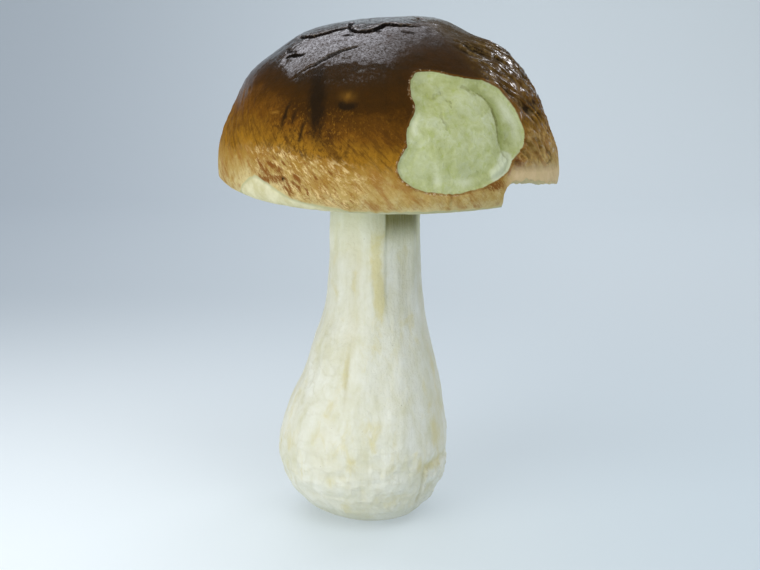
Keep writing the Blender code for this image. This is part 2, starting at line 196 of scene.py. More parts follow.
# Creases: the path, half width, depth, how far the surface on its upper side stands up, and how dark the
# painted shade in it is.
CREASES = (
    (
        ((-129, 71.3), (-122, 69.4), (-115, 67.3), (-108, 67.7), (-102, 68.8), (-97, 71.5), (-93, 74.2),
         (-88, 75), (-82, 74), (-75, 73.2), (-66, 72.6), (-57, 72.2)),
        0.75, 1.7, 0.7, 1.0,
    ),
    (((-162, 59.5), (-155, 59.8), (-147, 60.6), (-141, 62.6), (-137, 65.5), (-133, 68.6), (-128, 71)),
     0.7, 1.3, 0.5, 1.0),
    (((-127, 70.5), (-131, 73), (-137, 75.2), (-146, 76.6)), 0.8, 1.0, 0.2, 0.9),
    (((-122.5, 63.6), (-119, 64.7), (-115, 64.6)), 0.7, 0.7, 0.0, 0.9),
    (((-104, 69.4), (-99, 68.6), (-95, 69.3)), 0.7, 0.6, 0.0, 0.8),
    (((-79, 68.8), (-74, 67), (-68, 66.4)), 0.6, 0.5, 0.0, 0.6),
    (((-128, 43), (-124, 46), (-120, 49.5), (-116, 52.5), (-112, 54.5), (-107, 57)), 0.6, 0.6, 0.25, 0.7),
    (((-147.5, 48.6), (-143.5, 50.2), (-139.5, 50), (-135.5, 51.4)), 1.0, 1.0, 0.0, 1.0),
    (((-155, 53), (-149, 51.5), (-144, 52.5)), 0.7, 0.5, 0.0, 0.8),
    (((-50, 6.2), (-44, 5.6), (-38, 5), (-31, 4.2), (-22, 3.2), (-12, 2.4)), 1.0, 0.15, 0.25, 0.08),
    (((-43.5, 15.4), (-41, 15), (-38.5, 13.5), (-35.8, 11.3), (-33.8, 8.6), (-32.8, 6.2)),
     1.0, 0.6, 0.5, 0.25),
    (((-37.5, 17), (-35.8, 15.8), (-31.5, 13), (-29.5, 10), (-28.5, 7)), 1.0, 0.55, 0.4, 0.2),
    (((-44.2, 13.4), (-41.5, 10.8), (-39, 8.5), (-37.5, 6.4)), 0.9, 0.5, 0.3, 0.2),
    (((-26.5, 11.5), (-24.5, 9.2), (-21.8, 7.4), (-21, 6), (-23.5, 5.2), (-27, 5)), 0.6, 0.6, 0.3, 0.40),
    (((-48, 9), (-46, 7.6), (-43.5, 6.4)), 1.0, 0.5, 0.2, 0.3),
)
FLESH_CREASES = (
    (((-55.5, 34.4), (-52.5, 33), (-50.6, 30), (-49.6, 26), (-49.9, 21.5), (-50.7, 17), (-50.7, 12)),
     0.95, 0.45, 0.0, 1.0),
    (((-53.6, 11.6), (-51.2, 11.8), (-48.9, 10), (-48.3, 7.4), (-49.6, 5)), 0.6, 0.3, 0.0, 0.5),
    (((-61.5, 6.5), (-59.5, 4.2), (-56.5, 2.9), (-53.4, 2.8)), 0.6, 0.25, 0.0, 0.4),
    (((-69, 36.5), (-70.5, 34.5), (-72.8, 33.2), (-75.5, 33.2)), 0.9, 0.35, 0.1, 0.45),
    (((-69, 32.2), (-67, 31), (-67.5, 28.5)), 0.5, 0.25, 0.0, 0.7),
    (((-70.5, 30.8), (-71.5, 27.2), (-71.2, 24), (-70.2, 21.5), (-70.8, 19.6)), 0.5, 0.25, 0.0, 0.6),
    (((-61, 37.6), (-58, 36.4), (-57.6, 34.2), (-55.2, 33)), 0.6, 0.3, 0.1, 0.5),
)
FLESH_SCARP = FLESH_CREASES[0][0]
FLESH_LOBE = ((-49.4, 9.4), (-50.2, 7), (-53.6, 4.4))
# Whiter smears on the bare flesh: the path and half width.
FLESH_SMEARS = (
    (((-75.2, 9), (-74.8, 4.2), (-74, 1.4)), 1.6), (((-81.6, 25), (-81.2, 21), (-81.8, 17)), 1.3),
    (((-70, 4), (-66, 2.8), (-61, 3.4)), 1.4), (((-47, 33), (-43.5, 27), (-41.5, 19), (-43, 14)), 2.0),
)
CROWN_HOLE = ((-30, 79.8), (-39, 77.4))
# How far a crease's raised side reaches, in millimetres. In half widths: where its lip lies, on which a
# highlight is painted, how wide that is, and how far off a crease is still counted.
CREASE_SHOULDER = 5.0
CREASE_LIP, CREASE_LIP_WIDTH, CREASE_REACH = 1.8, 0.45, 6.0


def between(value, low, high):
    """Smooth step: 0 up to low, 1 from high on, 3t^2 - 2t^3 between them. low may be the larger."""
    t = np.clip((value - low) / (high - low), 0, 1)
    return t * t * (3 - 2 * t)


def within(value, start, full, fading, end):
    """Smooth band: 0 up to start, 1 from full to fading, and 0 again from end on."""
    return between(value, start, full) * between(value, end, fading)


def tapered(along, margin, power):
    """How strong a mark is along its path: half a sine, not quite 0 at the ends, to a power."""
    return np.sin(np.pi * np.clip(along, margin, 1 - margin)) ** power


def layered_noise(points, seed, layers=3):
    """Noise added to itself at twice the fineness and half the strength, layer by layer."""
    return sum(noise(points * 2.03**k, seed + k) / 2**k for k in range(layers))


def round_cells(points, seed):
    """Distances to the nearest and second nearest of points strewn one to a cell of a unit lattice."""
    strewn = np.random.default_rng(seed).uniform(0.1, 0.9, (4096, 3))
    cell = np.floor(points).astype(np.int64)
    nearest = np.full(points.shape[:-1], np.inf)
    second = nearest.copy()
    for offset in np.ndindex(3, 3, 3):
        other = cell + np.array(offset) - 1
        key = other @ LATTICE_PRIMES % len(strewn)
        apart = np.linalg.norm(other + strewn[key] - points, axis=-1)
        second = np.minimum(second, np.maximum(nearest, apart))
        nearest = np.minimum(nearest, apart)
    return nearest, second


def smooth_path(knots, steps, closed=False):
    """Points on a smooth curve through the knots, so many steps to a stretch."""
    knots = np.array(knots, float)
    count = len(knots)
    stretches = count if closed else count - 1
    t = np.arange(steps)[:, None] / steps
    points = []
    for i in range(stretches):
        rows = [
            knots[(i + k) % count] if closed else knots[min(max(i + k, 0), count - 1)]
            for k in (-1, 0, 1, 2)
        ]
        points.append(smooth_curve(rows, t))
    points.append(knots[:1] if closed else knots[-1:])
    return np.concatenate(points)


def off_path(places, knots, steps=3, closed=False):
    """For each unit vector: how far it is from a path on the cap, positive on the path's left, and the
    share of the path's length at which it is nearest."""
    corners = facing(*smooth_path(knots, steps, closed).T)
    apart = np.full(places.shape[:-1], np.inf)
    along, side = np.zeros_like(apart), np.ones_like(apart)
    for i, (start, end) in enumerate(zip(corners, corners[1:])):
        edge = end - start
        t = np.clip((places - start) @ edge / (edge @ edge), 0, 1)
        here = np.linalg.norm(places - start - t[..., None] * edge, axis=-1)
        closer = here < apart
        apart = np.where(closer, here, apart)
        along = np.where(closer, (i + t) / (len(corners) - 1), along)
        side = np.where(closer, np.sign(places @ np.cross(start, end)), side)
    return apart * side * CAP_RADIUS, along


def around_cap(azimuth, height, across, upward, slant=0.0):
    """Places for a pattern that runs round the cap without a seam: features grow longer as across or
    upward grows, and lean with the slant, in degrees of azimuth for each degree of height."""
    a = np.radians(azimuth + slant * height)
    upright = np.radians(height) * CAP_RADIUS / upward
    ring = CAP_RADIUS / across
    return np.stack(np.broadcast_arrays(ring * np.cos(a), ring * np.sin(a), upright), -1)


def creased(places, rows):
    """The relief of a set of creases, and for each place how many half widths away the nearest one lies, how
    dark the painted shade in that one is, and how near the place is to a crease's upper lip, where a
    highlight is painted. A crease is a groove with a smooth step's section, and on its upper side the
    surface stands up and falls off again."""
    relief = np.zeros(places.shape[:-1])
    away, dark, lip = np.full_like(relief, CREASE_REACH), np.zeros_like(relief), np.zeros_like(relief)
    for path, half_width, depth, stands_up, shade in rows:
        apart, along = off_path(places, path)
        fade = tapered(along, 0.02, 0.4)
        groove = between(np.abs(apart), half_width, 0)
        above = between(apart, 0.0, half_width) * np.exp(-((np.clip(apart, 0, None) / CREASE_SHOULDER) ** 2))
        relief += fade * (stands_up * above - depth * groove)
        widths = np.abs(apart) / (half_width * fade)
        dark = np.where(widths < away, shade, dark)
        away = np.minimum(widths, away)
        from_lip = (apart / half_width - CREASE_LIP) / CREASE_LIP_WIDTH
        lip = np.maximum(lip, stands_up * fade * np.exp(-(from_lip**2)))
    return relief, away, dark, lip


def relief_of_skin(azimuth, height):
    """How far the skin stands off the plain dome, and the values that colour it."""
    places = facing(azimuth, height)
    bare = -off_path(places, BARE_PATCH_OUTLINE, 4, closed=True)[0]
    bare += 0.30 * noise(places * 22, 19) + 0.18 * noise(places * 50, 20)
    on_skin = between(bare, 0.2, -0.6)

    lift = 0.10 * layered_noise(places * 22, 11, 3)
    crown = between(height, 38, 52) * between(azimuth, -75, -100)
    lift += crown * (0.07 * layered_noise(places * 46, 12, 2) + 0.14 * noise(places * 8, 24))

    wrinkled = within(azimuth, -54, -44, 10, 40) * within(height, 15, 24, 54, 64)
    flow = noise(around_cap(azimuth, height, 3.2, 12.0, 1.2) + 0.6 * noise(places * 11, 25)[..., None], 13)
    ridges = 1 - 2 * np.abs(flow)
    lift += wrinkled * (0.85 * ridges + 0.15 * noise(places * 34, 14))
    folded = within(azimuth, -50, -44, -10, 10) * within(height, 3, 8, 16, 22)
    bent = 0.6 * noise(places * 16, 28)[..., None]
    folds = 1 - 2 * np.abs(noise(around_cap(azimuth, height, 2.2, 5.0, 1.0) + bent, 26))
    lift += folded * (0.25 * folds + 0.08 * noise(places * 40, 29))
    fibrous = within(height, -4, 1, 9, 14)
    chafed = within(azimuth, -144, -134, -104, -92)
    fibres = noise(around_cap(azimuth, height, 1.4, 3.2, 0.9), 15)
    lift += fibrous * (0.07 + 0.12 * chafed) * fibres
    dimpled = within(height, 8, 14, 28, 38) * between(bare, 0, -3)
    lift += dimpled * 0.28 * noise(around_cap(azimuth, height, 2.0, 4.2, 0.9), 16)

    jolt = [noise(places * 26, seed) + 0.6 * noise(places * 60, seed + 3) for seed in (51, 52, 53)]
    jolt = np.stack(jolt, -1)
    skin_creases, crease_away, crease_dark, lip = creased(places + 0.006 * jolt, CREASES)
    apart, _ = off_path(places, CROWN_HOLE)
    hole = between(np.abs(apart), 0.95, 0.45)
    lift += skin_creases - 0.9 * hole
    rim = 0.28 * np.exp(-(((bare + 0.55) / 0.5) ** 2))
    lift = (lift + rim) * on_skin

    torn_along = places + 0.010 * jolt
    scarp = -off_path(torn_along, FLESH_SCARP)[0]
    lobe = np.abs(off_path(places, FLESH_LOBE)[0])
    flesh, flesh_away, flesh_dark, _ = creased(torn_along, FLESH_CREASES)
    flesh += lumps(azimuth, height, BARE_FLESH_RELIEF)
    flesh += 0.20 * layered_noise(places * 12, 17, 3) + 0.10 * noise(places * 24, 27)
    flesh -= 0.10 * np.exp(-(noise(around_cap(azimuth, height, 7, 9, 0.3), 18) / 0.16) ** 2)
    flesh -= 0.50 * between(scarp, 0.5, -0.5) * np.exp(-((scarp / 4.5) ** 2))
    flesh += 0.40 * between(lobe, 3.8, 1.2)
    pale = np.zeros_like(lobe)
    for path, half_width in FLESH_SMEARS:
        apart, along = off_path(places, path)
        pale = np.maximum(pale, tapered(along, 0.1, 1) * np.exp(-((apart / half_width) ** 2)))
    inside = between(bare, 0.3, 2.6)
    lift -= BARE_PATCH_RIM_DEPTH * between(bare, -0.15, 0.5)
    lift -= (BARE_PATCH_DEPTH - BARE_PATCH_RIM_DEPTH) * between(bare, 0.4, 4.0)
    lift += inside * flesh
    in_flesh = bare > 0
    return lift, {
        "bare": np.clip(bare, -8, 8),
        "flesh_high": flesh,
        "flesh_pale": pale,
        "lobe": between(lobe, 3.5, 2.0),
        # a band below the scarp that is painted darker green: painted shade
        "strip": within(scarp, -4.0, -1.6, -0.4, 0.3) * between(bare, 0.5, 2),
        "crease_away": np.where(in_flesh, flesh_away, crease_away),
        "crease_dark": np.where(in_flesh, flesh_dark * between(bare, 0.5, 1.5), crease_dark * on_skin),
        "lip": lip.clip(0, 1),
        "hole": hole,
        "wrinkled": wrinkled,
        "ridges": ridges,
        "folded": folded,
        "folds": folds,
        "chafed": chafed * between(height, 17, 12) * on_skin,
    }


# Building a piece
# A piece is a stack of rings of points. Its values at each point go with it as attributes, in millimetres,
# degrees or shares, and the materials read them.

MILLIMETRE = 0.001


def placed(name, data):
    """A new object with this data, in the scene."""
    made = bpy.data.objects.new(name, data)
    bpy.context.scene.collection.objects.link(made)
    return made


def surface(name, points, faces):
    """A smooth mesh object from points in millimetres."""
    mesh = bpy.data.meshes.new(name)
    mesh.from_pydata(points * MILLIMETRE, [], faces)
    mesh.shade_smooth()
    return placed(name, mesh)


def ring_piece(name, rings, values, top=None, bottom=None):
    """A closed mesh from rings of points, numbered from the top and anticlockwise seen from above, faces
    outwards. A top or bottom point closes it, and without both the last ring joins the first."""
    rows, columns = rings.shape[:2]
    points = rings.reshape(-1, 3)
    index = np.arange(rows * columns).reshape(rows, columns)
    upper, lower = (index[:-1], index[1:]) if top is not None else (index, np.roll(index, -1, 0))
    quads = np.stack([upper, lower, np.roll(lower, -1, 1), np.roll(upper, -1, 1)], -1).reshape(-1, 4)
    faces = quads.tolist()
    shares = {key: value.reshape(-1, *value.shape[2:]) for key, value in values.items()}
    for pole, ring, turn in ((top, index[0], 1), (bottom, index[-1], -1)):
        if pole is not None:
            tip = np.full(columns, len(points))
            faces += np.stack([tip, ring, np.roll(ring, -1)], -1)[:, ::turn].tolist()
            points = np.concatenate([points, [pole]])
            shares = {key: np.concatenate([value, [value[ring].mean(0)]]) for key, value in shares.items()}
    piece = surface(name, points, faces)
    for key, value in shares.items():
        kind, slot = ("FLOAT", "value") if value.ndim == 1 else ("FLOAT_VECTOR", "vector")
        made = piece.data.attributes.new(key, kind, "POINT")
        made.data.foreach_set(slot, value.astype(np.float32).ravel())
    return piece


# The cap
# Its flesh is one dome of firm pale tissue, and its skin is a thin brown layer grown onto it, dark and tacky
# on the crown, ochre and then tan towards the margin, with a narrow pale hem that it leaves bare.

# Heights at which the skin is tan, ochre, brown, dark brown and darkest, by azimuth.
RIPENING = (
    (-180, 7, 12, 25, 37, 48), (-150, 7.5, 12.5, 26, 37, 47), (-140, 8, 13, 26, 36, 45.5),
    (-130, 10.5, 14.5, 24, 34, 41), (-125, 10.5, 14.5, 22, 30, 42.5), (-120, 9.5, 14, 21, 28, 45.5),
    (-110, 7.5, 11.5, 18, 28, 46), (-100, 5.5, 9.5, 18, 29, 46), (-92, 3, 8, 17, 28, 48),
    (-85, 2.8, 7.5, 15, 28, 54), (-78, 2.6, 7, 13, 28, 60), (-70, 2.5, 6, 11, 28, 64),
    (-60, 2.5, 5, 9, 28, 66), (-40, 11, 19, 24, 36, 66), (-28, 12, 21, 27, 40, 68), (0, 8, 15, 24, 42, 68),
    (60, 7, 12, 20, 34, 50), (120, 8, 13, 24, 35, 47), (180, 7, 12, 25, 37, 48),
)
# Dark stains, a paler spot and a short painted highlight in the skin: the path, half width, and strength.
STAINS = (
    (((-121.5, 45.5), (-120, 41), (-117.6, 36), (-116.2, 31), (-115.4, 27), (-114.6, 22), (-112, 16)),
     3.4, 1.0),
    (((-127, 31), (-127.5, 25), (-128, 18)), 1.0, 0.75),
    (((-123.4, 28), (-123.8, 21)), 0.8, 0.6),
    (((-118.6, 26), (-119.4, 20), (-119.2, 15)), 0.9, 0.7),
    (((-108, 30.6), (-104.8, 29.2), (-101.5, 29.8)), 1.7, 1.1),
    (((-105.8, 33.4), (-103.6, 33)), 1.9, -0.7),
    # A short painted highlight, as from a small lamp's reflection.
    (((-134, 25), (-132.3, 25.5), (-130.7, 25.8)), 0.45, -1.3),
)
# Brown scars and fibres in the margin, at the left and below the bare patch: the path and half width.
FIBRES = (
    (((-135.8, 8.8), (-134, 7), (-132.6, 6.2)), 0.5), (((-134.6, 6.4), (-132, 5), (-129.5, 4.6)), 1.3),
    (((-135.2, 3.6), (-132, 2.4), (-128.6, 2.4)), 1.0), (((-132.5, 8), (-129, 7.4), (-126.2, 6.2)), 0.9),
    (((-131, 4), (-128, 3.2), (-125.2, 3.4), (-122.6, 3)), 1.2), (((-127.6, 6.6), (-124.6, 5.6)), 1.1),
    (((-126.4, 5), (-123.8, 3.8), (-122, 1.6), (-120.4, -0.6)), 0.6),
    (((-124.6, 1.6), (-122.6, 0.2), (-121.4, -1.6)), 0.5), (((-121, 5), (-118.8, 3.8), (-117.2, 2)), 0.8),
    (((-121.4, 3), (-119, 1.8), (-117.4, 0.4)), 0.5), (((-118, 2.6), (-115.8, 1), (-114.8, -0.8)), 0.4),
    (((-46.4, 9.6), (-45.2, 8), (-44.6, 5.6)), 1.0), (((-60, 1.8), (-57, 1.7), (-54, 1.2), (-51, 1.8)), 1.4),
    (((-47.4, 6.4), (-45.6, 7.2), (-43, 7.8), (-41, 6.8)), 1.7), (((-49.6, 4.2), (-48.4, 5.6)), 0.9),
    (((-122, -2.6), (-119.6, -3.2), (-117.2, -3.2)), 0.7), (((-129.6, 10.6), (-127.4, 9)), 0.4),
    (((-125.5, 9.4), (-123, 7.4)), 0.35), (((-113.6, 6), (-111.6, 3.6)), 0.4),
    (((-109, 8), (-106.6, 5)), 0.4),
)
BLACK_SPECK = (-124.2, 3.5)
# Where the skin ends on the left, in a wedge: azimuth and height above the widest level.
SKIN_HEM_WEDGE = (
    (-149.5, -5), (-146.5, -2.6), (-143.6, -0.4), (-141.5, 1.3), (-139.2, 2.9), (-136.8, 3.8),
    (-134, 3), (-129.5, 1.4), (-125.5, -0.6), (-121.8, -2.1), (-115, -3.2), (-108, -4.2), (-100, -6),
)
HEM_WIDTH = 0.9
MARGIN_RINGS, HEM_RINGS = 22, 13
UNDERSIDE_HEIGHT = -12.0

# Columns of points, closest together at the front: start and end azimuth and how many.
CAP_COLUMNS = ((-195, -92, 172), (-92, -32, 150), (-32, 15, 78), (15, 165, 100))


def stretches(rows):
    """Evenly spaced values over one stretch after another, without the last one's end."""
    return np.concatenate([np.linspace(*row, endpoint=False) for row in rows])


cap_azimuths = stretches(CAP_COLUMNS)
dome_shares = np.concatenate([np.linspace(1, 0.52, 66, endpoint=False)[1:], np.linspace(0.52, 0, 93)])
widest = skin(cap_azimuths, 0)
torn_above_widest = np.clip(break_level(widest[:, 0], widest[:, 1]) - WIDEST_LEVEL, 0, None)
lowest_height = np.degrees(np.arcsin((torn_above_widest / DOME_HEIGHT) ** (1 / CROWN_FULLNESS)))
edge_radius, edge_level = margin_edge(cap_azimuths)

heights = lowest_height + (90 - lowest_height) * dome_shares[:, None]
azimuths = np.broadcast_to(cap_azimuths, heights.shape)
lift, cap_values = relief_of_skin(azimuths, heights)
dome = skin(azimuths, heights, lift)
start_reach = np.hypot(dome[-1, :, 0] - CAP_CENTRE_X, dome[-1, :, 1])

# The rolled margin goes down and in from the widest ring, round its lowest line and up inside the lip.
turns = np.linspace(0, 180, MARGIN_RINGS + 1)[1:, None]
t = np.radians(turns)
outer_reach = edge_radius + (start_reach - edge_radius) * np.cos(t)
outer_level = WIDEST_LEVEL - (WIDEST_LEVEL - edge_level) * np.sin(t)
inner_reach = edge_radius + LIP_THICKNESS * np.cos(t)
inner_level = edge_level + LIP_HEIGHT * (1 - np.sin(t))
outside = turns <= 90
margin_heights = np.degrees((outer_level - WIDEST_LEVEL) / CAP_RADIUS) * np.where(outside, 1, 1.6)
margin_azimuths = np.broadcast_to(cap_azimuths, margin_heights.shape)
lift, margin_values = relief_of_skin(margin_azimuths, margin_heights)
lift = lift * between(turns, 150, 60)
margin = turned(
    margin_azimuths,
    np.where(outside, outer_reach, inner_reach) + lift * np.cos(t).clip(0),
    np.where(outside, outer_level, inner_level) - lift * np.sin(t),
)

# Underneath, the flesh ends where the tubes begin.
shares = np.linspace(1, 0, 11)[1:-1, None]
below = turned(cap_azimuths, (edge_radius - LIP_THICKNESS) * shares, flesh_level(cap_azimuths, shares))
cap_rings = np.concatenate([dome, margin, below])
for key, value in margin_values.items():
    under = np.broadcast_to(value[-1], below.shape[:2])
    cap_values[key] = np.concatenate([cap_values[key], value, under])
heights = np.concatenate([heights, margin_heights, np.full(below.shape[:2], UNDERSIDE_HEIGHT)])
azimuths = np.broadcast_to(cap_azimuths, heights.shape)
places = facing(azimuths, heights)

wedge = np.interp(cap_azimuths, *np.array(SKIN_HEM_WEDGE).T, left=-FAR_BELOW, right=-FAR_BELOW)
wobble = 0.3 * noise(facing(cap_azimuths, 0) * 30, 21)
hem_level = WIDEST_LEVEL + wobble + np.maximum(wedge, edge_level - WIDEST_LEVEL + HEM_WIDTH)
on_outside = np.arange(len(cap_rings))[:, None] < len(dome) + HEM_RINGS
hem = np.where(on_outside, cap_rings[..., 2] - hem_level, -3.0)
torn_level = break_level(cap_rings[..., 0], cap_rings[..., 1])
torn = np.clip(torn_level - cap_rings[..., 2], -3, 3)
cap_rings[..., 2] = np.maximum(cap_rings[..., 2], torn_level)

ripening = np.array(RIPENING, float).T
wobbled = heights + 1.6 * noise(places * 5, 22) + 0.8 * noise(places * 13, 23)
stops = [np.interp(azimuths, (-140, -115, -60, -40), (-3, -9, -9, -4))]
stops += [np.interp(np.mod(azimuths + 180, 360) - 180, ripening[0], row) for row in ripening[1:]]
ripe = sum(0.2 * np.clip((wobbled - low) / (high - low), 0, 1) for low, high in zip(stops, stops[1:]))
stain, pale_spot, fibre = np.zeros((3, *ripe.shape))
for path, half_width, strength in STAINS:
    apart, along = off_path(places, path)
    blot = abs(strength) * tapered(along, 0.03, 0.35) * np.exp(-((apart / half_width) ** 2))
    if strength > 0:
        stain = np.maximum(stain, blot)
    else:
        pale_spot = np.maximum(pale_spot, blot)
for path, half_width in FIBRES:
    apart, along = off_path(places, path)
    stroke = between(np.abs(apart), half_width * 1.6, half_width * 0.4)
    fibre = np.maximum(fibre, tapered(along, 0.03, 0.5) * stroke)
speck = np.linalg.norm(places - facing(*BLACK_SPECK), axis=-1) * CAP_RADIUS
shelf = np.interp(azimuths, (-50, -31, -12), (6.2, 4.2, 2.4))
cap_values |= {
    "hem": np.clip(hem, -3, 6),
    "torn": torn,
    "ripe": ripe,
    "stain": stain,
    "pale_spot": pale_spot,
    "fibre": fibre,
    "hole": np.maximum(cap_values["hole"], between(speck, 0.8, 0.4)),
    "ragged": between(azimuths, -64, -72) * between(np.abs(heights - 22), 4, 8),
    "olive": within(azimuths, -58, -40, 20, 60) * between(heights, 7, 20),
    "behind_crease": between(heights, 69, 75),
    "sheen_share": 1 - 0.55 * between(azimuths, -102, -80) * between(heights, 75, 68),
    "left_rim": between(azimuths, -150, -160) * between(heights, 22, 34),
    "speckled": within(azimuths, -138, -126, -108, -96) * within(heights, 8, 12, 24, 34),
    "worn": within(azimuths, -52, -47, 4, 12) * between(wobbled - shelf, 2.6, -2.2),
    "run": around_cap(azimuths, heights, 1.0, 1.0),
    "lean": around_cap(azimuths, heights, 1.0, 1.0, 0.9),
}

cap = ring_piece(
    "porcini_cap", cap_rings, cap_values,
    top=skin(0, 90, relief_of_skin(0, 90)[0]), bottom=turned(0, 0, flesh_level(0, 0)),
)


# Paint for materials
# Every finish is worked out from the attributes above and from noise on the piece's own coordinates. Colours
# are given as they look on a screen, from 0 to 255.


def colour(red, green, blue):
    """A screen's colour as the shader needs it: each share of 255 plus 0.055, over 1.055, to the 2.4, or
    the share over 12.92 where it is dark."""
    share = np.array([red, green, blue]) / 255
    linear = np.where(share <= 0.04045, share / 12.92, ((share + 0.055) / 1.055) ** 2.4)
    return (*linear.tolist(), 1.0)


class Wire:
    """A node's output that Python's operators work on, each adding a Math node."""

    def __init__(self, paint, socket):
        self.paint, self.socket = paint, socket

    def maths(self, operation, first, second):
        return self.paint.node("ShaderNodeMath", {"operation": operation}, {0: first, 1: second})

    def __add__(self, other):
        return self.maths("ADD", self, other)

    __radd__ = __add__

    def __sub__(self, other):
        return self.maths("SUBTRACT", self, other)

    def __rsub__(self, other):
        return self.maths("SUBTRACT", other, self)

    def __mul__(self, other):
        return self.maths("MULTIPLY", self, other)

    __rmul__ = __mul__

    def larger(self, other):
        return self.maths("MAXIMUM", self, other)

    def step(self, low, high):
        """Smooth step: 0 up to low, 1 from high on. low may be the larger."""
        ends = {"From Min": min(low, high), "From Max": max(low, high)}
        ends |= {"To Min": float(low > high), "To Max": float(low < high)}
        return self.paint.node(
            "ShaderNodeMapRange", {"interpolation_type": "SMOOTHSTEP"}, {"Value": self, **ends}
        )


class Paint:
    """A material and the nodes that make its finish."""

    def __init__(self, name):
        self.material = bpy.data.materials.new(name)
        self.material.use_nodes = True
        self.tree = self.material.node_tree
        self.tree.nodes.clear()

    def node(self, kind, settings=None, values=None, output=0):
        """Adds a node: its settings first, a ramp's stops among them, then its sockets' values or links."""
        made = self.tree.nodes.new(kind)
        for key, value in (settings or {}).items():
            if key == "stops":
                ramp = made.color_ramp.elements
                for position, _ in value[1:-1]:
                    ramp.new(position)
                for element, (position, colour) in zip(ramp, value):
                    element.position, element.color = position, colour
            else:
                setattr(made, key, value)
        for key, value in (values or {}).items():
            if isinstance(value, Wire):
                self.tree.links.new(value.socket, made.inputs[key])
            else:
                made.inputs[key].default_value = value
        return Wire(self, made.outputs[output]) if made.outputs else made

    def field(self, name, output="Fac"):
        return self.node("ShaderNodeAttribute", {"attribute_name": name}, output=output)

    def millimetres(self):
        """The piece's own coordinates, in millimetres."""
        return self.stretched(self.node("ShaderNodeTexCoord", output="Object"), (1000, 1000, 1000))

    def stretched(self, place, scale):
        return self.node("ShaderNodeVectorMath", {"operation": "MULTIPLY"}, {0: place, 1: scale})

    def noise(self, place, per_mm, detail=3.0, roughness=0.55, distortion=0.0, upright=1.0):
        """Noise from 0 to 1 with so many features to a millimetre, and upright times as many up and down."""
        if upright != 1:
            place = self.stretched(place, (1, 1, upright))
        values = {"Vector": place, "Scale": per_mm, "Detail": detail, "Roughness": roughness}
        return self.node("ShaderNodeTexNoise", None, {**values, "Distortion": distortion})

    def layers(self, base, *layers):
        """A colour with others laid over it in turn, given as the share and the colour of each."""
        for share, over in layers:
            if not isinstance(over, Wire):
                over = colour(*over)
            sockets = {0: share, 6: base, 7: over}
            base = self.node("ShaderNodeMix", {"data_type": "RGBA"}, sockets, output=2)
        return base

    def ramp(self, share, *stops):
        """A colour read off a row of stops, each a share from 0 to 1 and a colour."""
        stops = [(position, colour(*screen)) for position, *screen in stops]
        return self.node("ShaderNodeValToRGB", {"stops": stops}, {"Fac": share})

    def bump(self, height, strength):
        """Turns a height in millimetres into the surface's tilt."""
        values = {"Height": height, "Distance": MILLIMETRE, "Strength": strength}
        return self.node("ShaderNodeBump", None, values)

    def finish(self, piece, **values):
        """The shader, by its sockets' names with underscores for spaces, put on a piece."""
        values = {key.replace("_", " "): value for key, value in values.items()}
        shader = self.node("ShaderNodeBsdfPrincipled", None, values)
        self.node("ShaderNodeOutputMaterial", None, {"Surface": shader})
        piece.data.materials.clear()
        piece.data.materials.append(self.material)


# The cap's finish
# Brown skin, mottled where it fades, with red-brown fibres near the margin, over pale flesh that greens
# slightly where it is bruised.

paint = Paint("porcini_cap")
place = paint.millimetres()
run, lean = paint.field("run", "Vector"), paint.field("lean", "Vector")
ripe, bare, hem = paint.field("ripe"), paint.field("bare"), paint.field("hem")
wrinkled, folded, chafed = paint.field("wrinkled"), paint.field("folded"), paint.field("chafed")
fibre, ragged = paint.field("fibre"), paint.field("ragged")

mottle = paint.noise(place, 0.22, 5.0, 0.6)
grain = paint.noise(place, 1.3, 3.0, 0.6)
skin_colour = paint.ramp(
    ripe + (mottle - 0.5) * 0.30 + (grain - 0.5) * 0.10,
    (0.00, 200, 186, 138), (0.12, 173, 148, 89), (0.22, 156, 122, 56), (0.40, 145, 103, 28),
    (0.60, 103, 65, 14), (0.78, 60, 36, 6), (1.00, 42, 28, 9),
)

# The ochre is flecked with dark and golden spots at the front, and the brown has slanted dark strokes.
speckled = paint.field("speckled") * 0.62 + ripe.step(0.20, 0.34) * ripe.step(0.85, 0.62) * 0.38
blots = paint.noise(run, 0.34, 5.0, 0.7, upright=0.55).step(0.48, 0.66)
flecks = paint.noise(run, 0.80, 4.0, 0.7, upright=0.6).step(0.50, 0.62)
glints = paint.noise(paint.stretched(run, (1.1, 1.1, 0.75)), 0.95, 4.0, 0.7, 0.3).step(0.53, 0.68)
slanted = paint.noise(lean, 0.42, 5.0, 0.7, 0.2, 0.28).step(0.49, 0.60)
slanted = slanted * ripe.step(0.20, 0.38) * ripe.step(0.85, 0.60)
skin_colour = paint.layers(
    skin_colour,
    (paint.field("olive") * 0.30, (92, 74, 36)),
    (blots * speckled * 0.65, (62, 38, 11)),
    (flecks * speckled * 0.60, (52, 31, 10)),
    (glints * speckled * 0.50, (160, 112, 36)),
    (slanted * (0.42 + speckled * 0.20), (72, 44, 13)),
)

